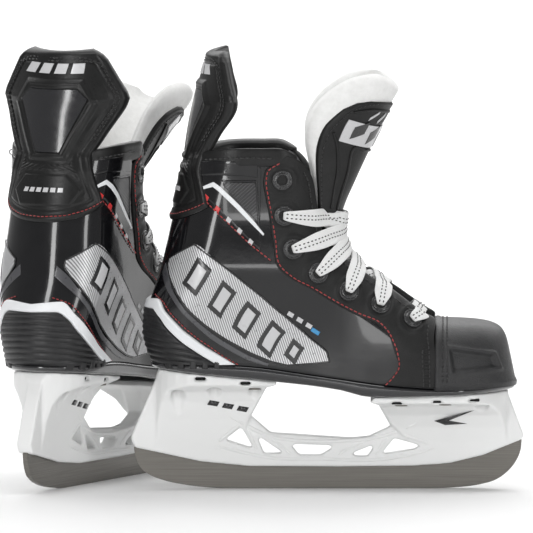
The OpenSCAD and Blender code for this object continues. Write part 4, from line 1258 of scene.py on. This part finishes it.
def tendon_guard(side):
    rows, cols = 190, 131
    t, v = across(-1, 1, rows, cols), down(0, 1, rows, cols)
    low = GUARD_LOW + 9 * t * t
    z = low + (GUARD_TOP - low) * v
    width = np.where(z > 182, guard_half(z), low_reach(np.minimum(z, 183)))
    rim = np.minimum((1 - np.abs(t)) * width, np.minimum(z - low, GUARD_TOP - z))
    puff = rounded(rim / 1.7)
    thick = 1.7 + 3.0 * ease((z - 174) / 12)
    y = t * width
    gem = polygon_depth(z, y, GEM)
    panel = polygon_depth(z, y, GEM_PANEL)
    foot = polygon_depth(z, y, FOOT_GEM)
    piping = np.exp(-((rim - 2.2) / 1.1) ** 2)
    groove = np.exp(-((rim - 6.6) / 0.7) ** 2)
    relief = (0.8 * ease(gem / 1.4) - 0.9 * ease(panel / 1.0) + 0.7 * ease(foot / 1.2)
              + 0.55 * np.exp(-((gem - 2.6) / 0.8) ** 2) + 0.5 * piping - 0.45 * groove)
    hatch = (np.abs(np.sin((z + 0.55 * np.abs(y)) * 1.75)) * ease((rim - 8.6) / 1.5)
             * ease((-gem - 1.6) / 1.0) * ease((206 - z) / 6) * ease((-foot - 1.5) / 1.0)
             * ease((z - 160) / 5))
    mid = thick / 2
    outer = guard_surface(z, t, mid * (1 - puff) - (relief + 0.55 * hatch) * np.clip(rim / 1.2, 0, 1))
    inner = guard_surface(z, t, mid + mid * puff)
    pieces = []

    def add(name, part, look, slot="guard_black", **words):
        pieces.append(build(name, part, look, side, slot, body=None, **words))

    add("tendon_guard", sheet(outer, inner), "guard", stands_for=["guard_lower", "guard_upper"])
    edge = lambda gap: [(a, 1 - gap / guard_half(a)) for a in (191, 198, 209, 213.5, 217, 226, 232.6)] \
        + [(GUARD_TOP - gap, 0.66), (GUARD_TOP - gap, 0.0)]
    threads = []
    for f in FLANKS:
        for gap in (3.9, 5.4):
            path, out = guard_line([(a, f * b) for a, b in edge(gap)], 0.3, smooth=False)
            threads.append(stitches(path, out, pitch=2.7, length=1.9, radius=0.36))
    add("guard_stitching", join(threads), "black_thread")
    low_red = []
    for f in FLANKS:
        foot_edge = [(150.4 + 9 * k * k, f * k) for k in (0, 0.25, 0.5, 0.7, 0.85, 0.96)]
        low_red.append(stitches(*guard_line(foot_edge, 0.25, 60), pitch=2.5, length=1.8, radius=0.32))
    add("guard_red_stitching", join(low_red), "red")
    rows_p, cols_p = 60, 50
    zz = down(185.6, 219.4, rows_p, cols_p)
    reach = np.interp(zz, [183.4, 214, 220.4], [0.30 * 23.5, 0.55 * 37.6, 0.40 * 35]) - 1.1
    tt = np.linspace(-1, 1, cols_p) * reach / guard_half(zz)
    glossy = sheet(guard_surface(zz, tt, -0.5), guard_surface(zz, tt, 0.4))
    add("guard_panel", glossy, "guard_gloss", crease=40)
    marks = []
    for count, first, step, wide, low, high, steps, slant, lift in (
            (4, -0.60, 0.31, 0.22, 228, 233.4, 8, lambda z: 0.06 * (z - 229) / 5, 0.35),
            (6, -0.38, 0.125, 0.085, 163.6, 166, 6, lambda z: 0.02 * (z - 163) / 3, 1.0)):
        for k in range(count):
            w = first + step * k
            zz = down(low, high, steps, steps + 2)
            tt = np.linspace(w, w + wide, steps + 2) + slant(zz)
            marks.append(sheet(guard_surface(zz, tt, -lift), guard_surface(zz, tt, 0.4)))
    add("guard_dashes", join(marks), "silver", "silver_film", crease=40)
    for piece in pieces:
        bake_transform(piece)


# ---- Lace ------------------------------------------------------------------
def ribbon(points, ups, widths, thick=1.25, count=54):
    """A flat woven strip through the points; ups turn its face, widths are in millimetres."""
    p = along(np.concatenate([points, ups * 3, np.array(widths)[:, None]], axis=1), count)
    path, up, wide = p[:, :3], unit(p[:, 3:6]), p[:, 6]
    tangent = unit(np.gradient(path, axis=0))
    aside = unit(np.cross(tangent, up))
    up = np.cross(aside, tangent)
    a = np.linspace(0, 2 * math.pi, 18, endpoint=False)
    ca, sa = bulge(np.cos(a), 0.45), bulge(np.sin(a), 0.8)
    rings = (path[:, None] + (wide / 2)[:, None, None] * ca[None, :, None] * aside[:, None]
             + thick / 2 * sa[None, :, None] * up[:, None])
    return loft(rings), (path, up, aside, thick)


def tracer_dots(strip, pitch=2.5):
    """Two rows of dark stitches along a lace."""
    path, up, aside, thick = strip
    parts = []
    for row in (-1, 1):
        line = path + aside * row * 1.05 + up * (thick / 2 + 0.02)
        run = run_length(line)
        keep = (run > 5) & (run < run[-1] - 3)
        if keep.sum() > 4:
            parts.append(stitches(line[keep], up[keep], pitch=pitch, length=1.25, radius=0.36))
    return parts


def tongue_front(i_from, i_to, part, y, lift):
    """A place over the tongue's front, between two eyelet rows."""
    e0, e1 = np.array(EYELETS[i_from]), np.array(EYELETS[i_to])
    e = e0 + (e1 - e0) * part
    line = along(TONGUE[:9, :2], 200)
    foot = line[np.linalg.norm(line - e, axis=1).argmin()]
    out = unit(foot - e)
    back = 9.0 * (1 - math.cos(math.asin(min(1, abs(y) / 15.5)))) * 0.8
    p = foot + out * (lift - back)
    up = np.array([out[0], y * 0.035, out[1]])
    return np.array([p[0], y, p[1]]), unit(up)


def lace_run(i, flank, lift):
    """Out of eyelet i, over the facing's edge and the tongue, and under the other edge."""
    at, up = eyelet_frame(i, flank)
    j = max(i - 1, 1)
    points, ups, widths = [at - up * 1.6, at + up * 1.3], [up, up], [3.2, 4.4]
    foot, _ = tongue_front(i, j, 0.25, 0, 0)
    e = np.array(EYELETS[i])
    toward = np.array([foot[0], foot[2]]) - e
    for part, off, wide in ((0.2, 2.7, 7.0), (0.45, 2.7, 9.4), (0.72, 2.9, 9.8)):
        spot = e + toward * part
        s = to_s(spot[0], spot[1]) * flank
        points.append(skin(s, np.array(spot[1]), off))
        ups.append(normal_at(s, np.array(spot[1])))
        widths.append(wide)
    for part, y, up_by in ((0.34, 8.5, lift), (0.5, 0, lift), (0.68, -8.5, lift * 0.55),
                           (0.86, -13.4, -1.5), (0.95, -15.6, -6)):
        p, n = tongue_front(i, j, part, y * flank, up_by)
        points.append(p)
        ups.append(n)
        widths.append(9.6 if abs(y) < 10 else 7.6)
    return ribbon(np.array(points), np.array(ups), widths)


def lace_bar():
    """The lowest run, straight over the tongue from the last eyelet on one side to the other."""
    def end(flank):
        at, up = eyelet_frame(LAST_EYELET, flank)
        return [(at - up * 1.6, up, 3.2), (at + up * 1.4, up, 5.0)]

    over = []
    for y in (-20, -13, -6, 0, 6, 13, 20):
        if abs(y) > 14:
            s = to_s(50.0, 97.0) * np.sign(y)
            p, n = skin(s, np.array(97.0), 2.4), normal_at(s, np.array(97.0))
        else:
            p, n = tongue_front(LAST_EYELET, LAST_EYELET, 0, y, 2.2)
        over.append((p, n, 9.0))
    places, ups, widths = zip(*(end(-1) + over + end(1)[::-1]))
    return ribbon(np.array(places), np.array(ups), list(widths), count=80)


def lace(side):
    runs = [(i, flank, lift) for i in range(2, LAST_EYELET) for flank, lift in ((1, 1.5), (-1, 3.0))]
    made = [lace_run(*run) for run in runs + [(1, 1, 1.7), (1, -1, 3.2)]] + [lace_bar()]
    build("lace", join([mesh for mesh, _ in made]), "lace", side, "lace_cotton", stands_for=["lace"])
    dots = [row for _, strip in made for row in tracer_dots(strip)]
    build("lace_tracer", join(dots), "tracer", side, "lace_cotton")


# ---- CAD pieces that show as they are --------------------------------------
SHOWN = {"runner_bolts": "steel", "rivets": "steel", "insole_board": "board"}


def cad_materials(side):
    for piece, key in SHOWN.items():
        mesh = frame["nodes"][f"{side}_{piece}"].data
        mesh.materials.clear()
        mesh.materials.append(MAT[key])


for side in SIDES:
    for make in (quarter_shell, lining, footbed, facings, ankle_panel, heel, badges, collar, toe_cap,
                 outsole, runner, holder, eyelets, tongue, tendon_guard, lace, cad_materials):
        make(side)


# ---- Floor, light and camera -----------------------------------------------
def stage():
    bpy.ops.mesh.primitive_plane_add(size=14, location=(0, 0, 0))
    floor = bpy.context.object
    floor.name = "floor"
    m = Material("floor_pale", (0.90, 0.90, 0.90), 0.55)
    m.colour(m.ramp(m.noise(0.004, 2), [(0.3, (0.89, 0.89, 0.89)), (0.7, (0.91, 0.91, 0.91))]))
    floor.data.materials.append(m.data)
    floor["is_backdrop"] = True
    world = bpy.data.worlds.new("studio")
    bpy.context.scene.world = world
    world.use_nodes = True
    world.node_tree.nodes["Background"].inputs["Color"].default_value = (1, 1, 1, 1)
    world.node_tree.nodes["Background"].inputs["Strength"].default_value = 0.32


def area_light(name, place, aim, size, power):
    data = bpy.data.lights.new(name, "AREA")
    data.shape = "RECTANGLE"
    data.size, data.size_y = size
    data.energy = power
    obj = bpy.data.objects.new(name, data)
    obj.location = place
    obj.rotation_euler = (Vector(aim) - Vector(place)).to_track_quat("-Z", "Y").to_euler()
    bpy.context.scene.collection.objects.link(obj)


# Name, place, aim, size in metres, and power in watts.
LIGHTS = [
    ("key_left", (-0.55, -1.0, 0.42), (-0.06, 0, 0.12), (0.16, 0.8), 4.2),
    ("fill_right", (0.75, -0.9, 0.35), (0.02, 0, 0.09), (0.16, 0.6), 2.4),
    ("front_low", (0.0, -1.3, 0.03), (0.0, 0, 0.02), (1.2, 0.05), 1.2),
    ("top", (0.0, -0.1, 1.0), (-0.04, 0.02, 0.1), (0.8, 0.35), 3.4),
    ("far_floor", (0.0, 2.0, 1.3), (0.0, 2.0, 0.0), (5.0, 3.0), 95),
]
AIM = Vector((-0.0336, 0.0, 0.1215))
VIEW_WIDTH = 0.2912
ELEVATION = math.radians(5)


def camera():
    data = bpy.data.cameras.new("camera")
    data.type = "ORTHO"
    data.ortho_scale = VIEW_WIDTH
    data.clip_end = 20
    obj = bpy.data.objects.new("camera", data)
    obj.location = AIM + Vector((0, -math.cos(ELEVATION), math.sin(ELEVATION))) * 2.5
    obj.rotation_euler = (math.pi / 2 - ELEVATION, 0, 0)
    bpy.context.scene.collection.objects.link(obj)
    bpy.context.scene.camera = obj


stage()
for light in LIGHTS:
    area_light(*light)
camera()
bpy.context.scene.view_settings.view_transform = "Standard"

{"cad": CAD_BOX, "visual": [list(corner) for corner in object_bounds()]}
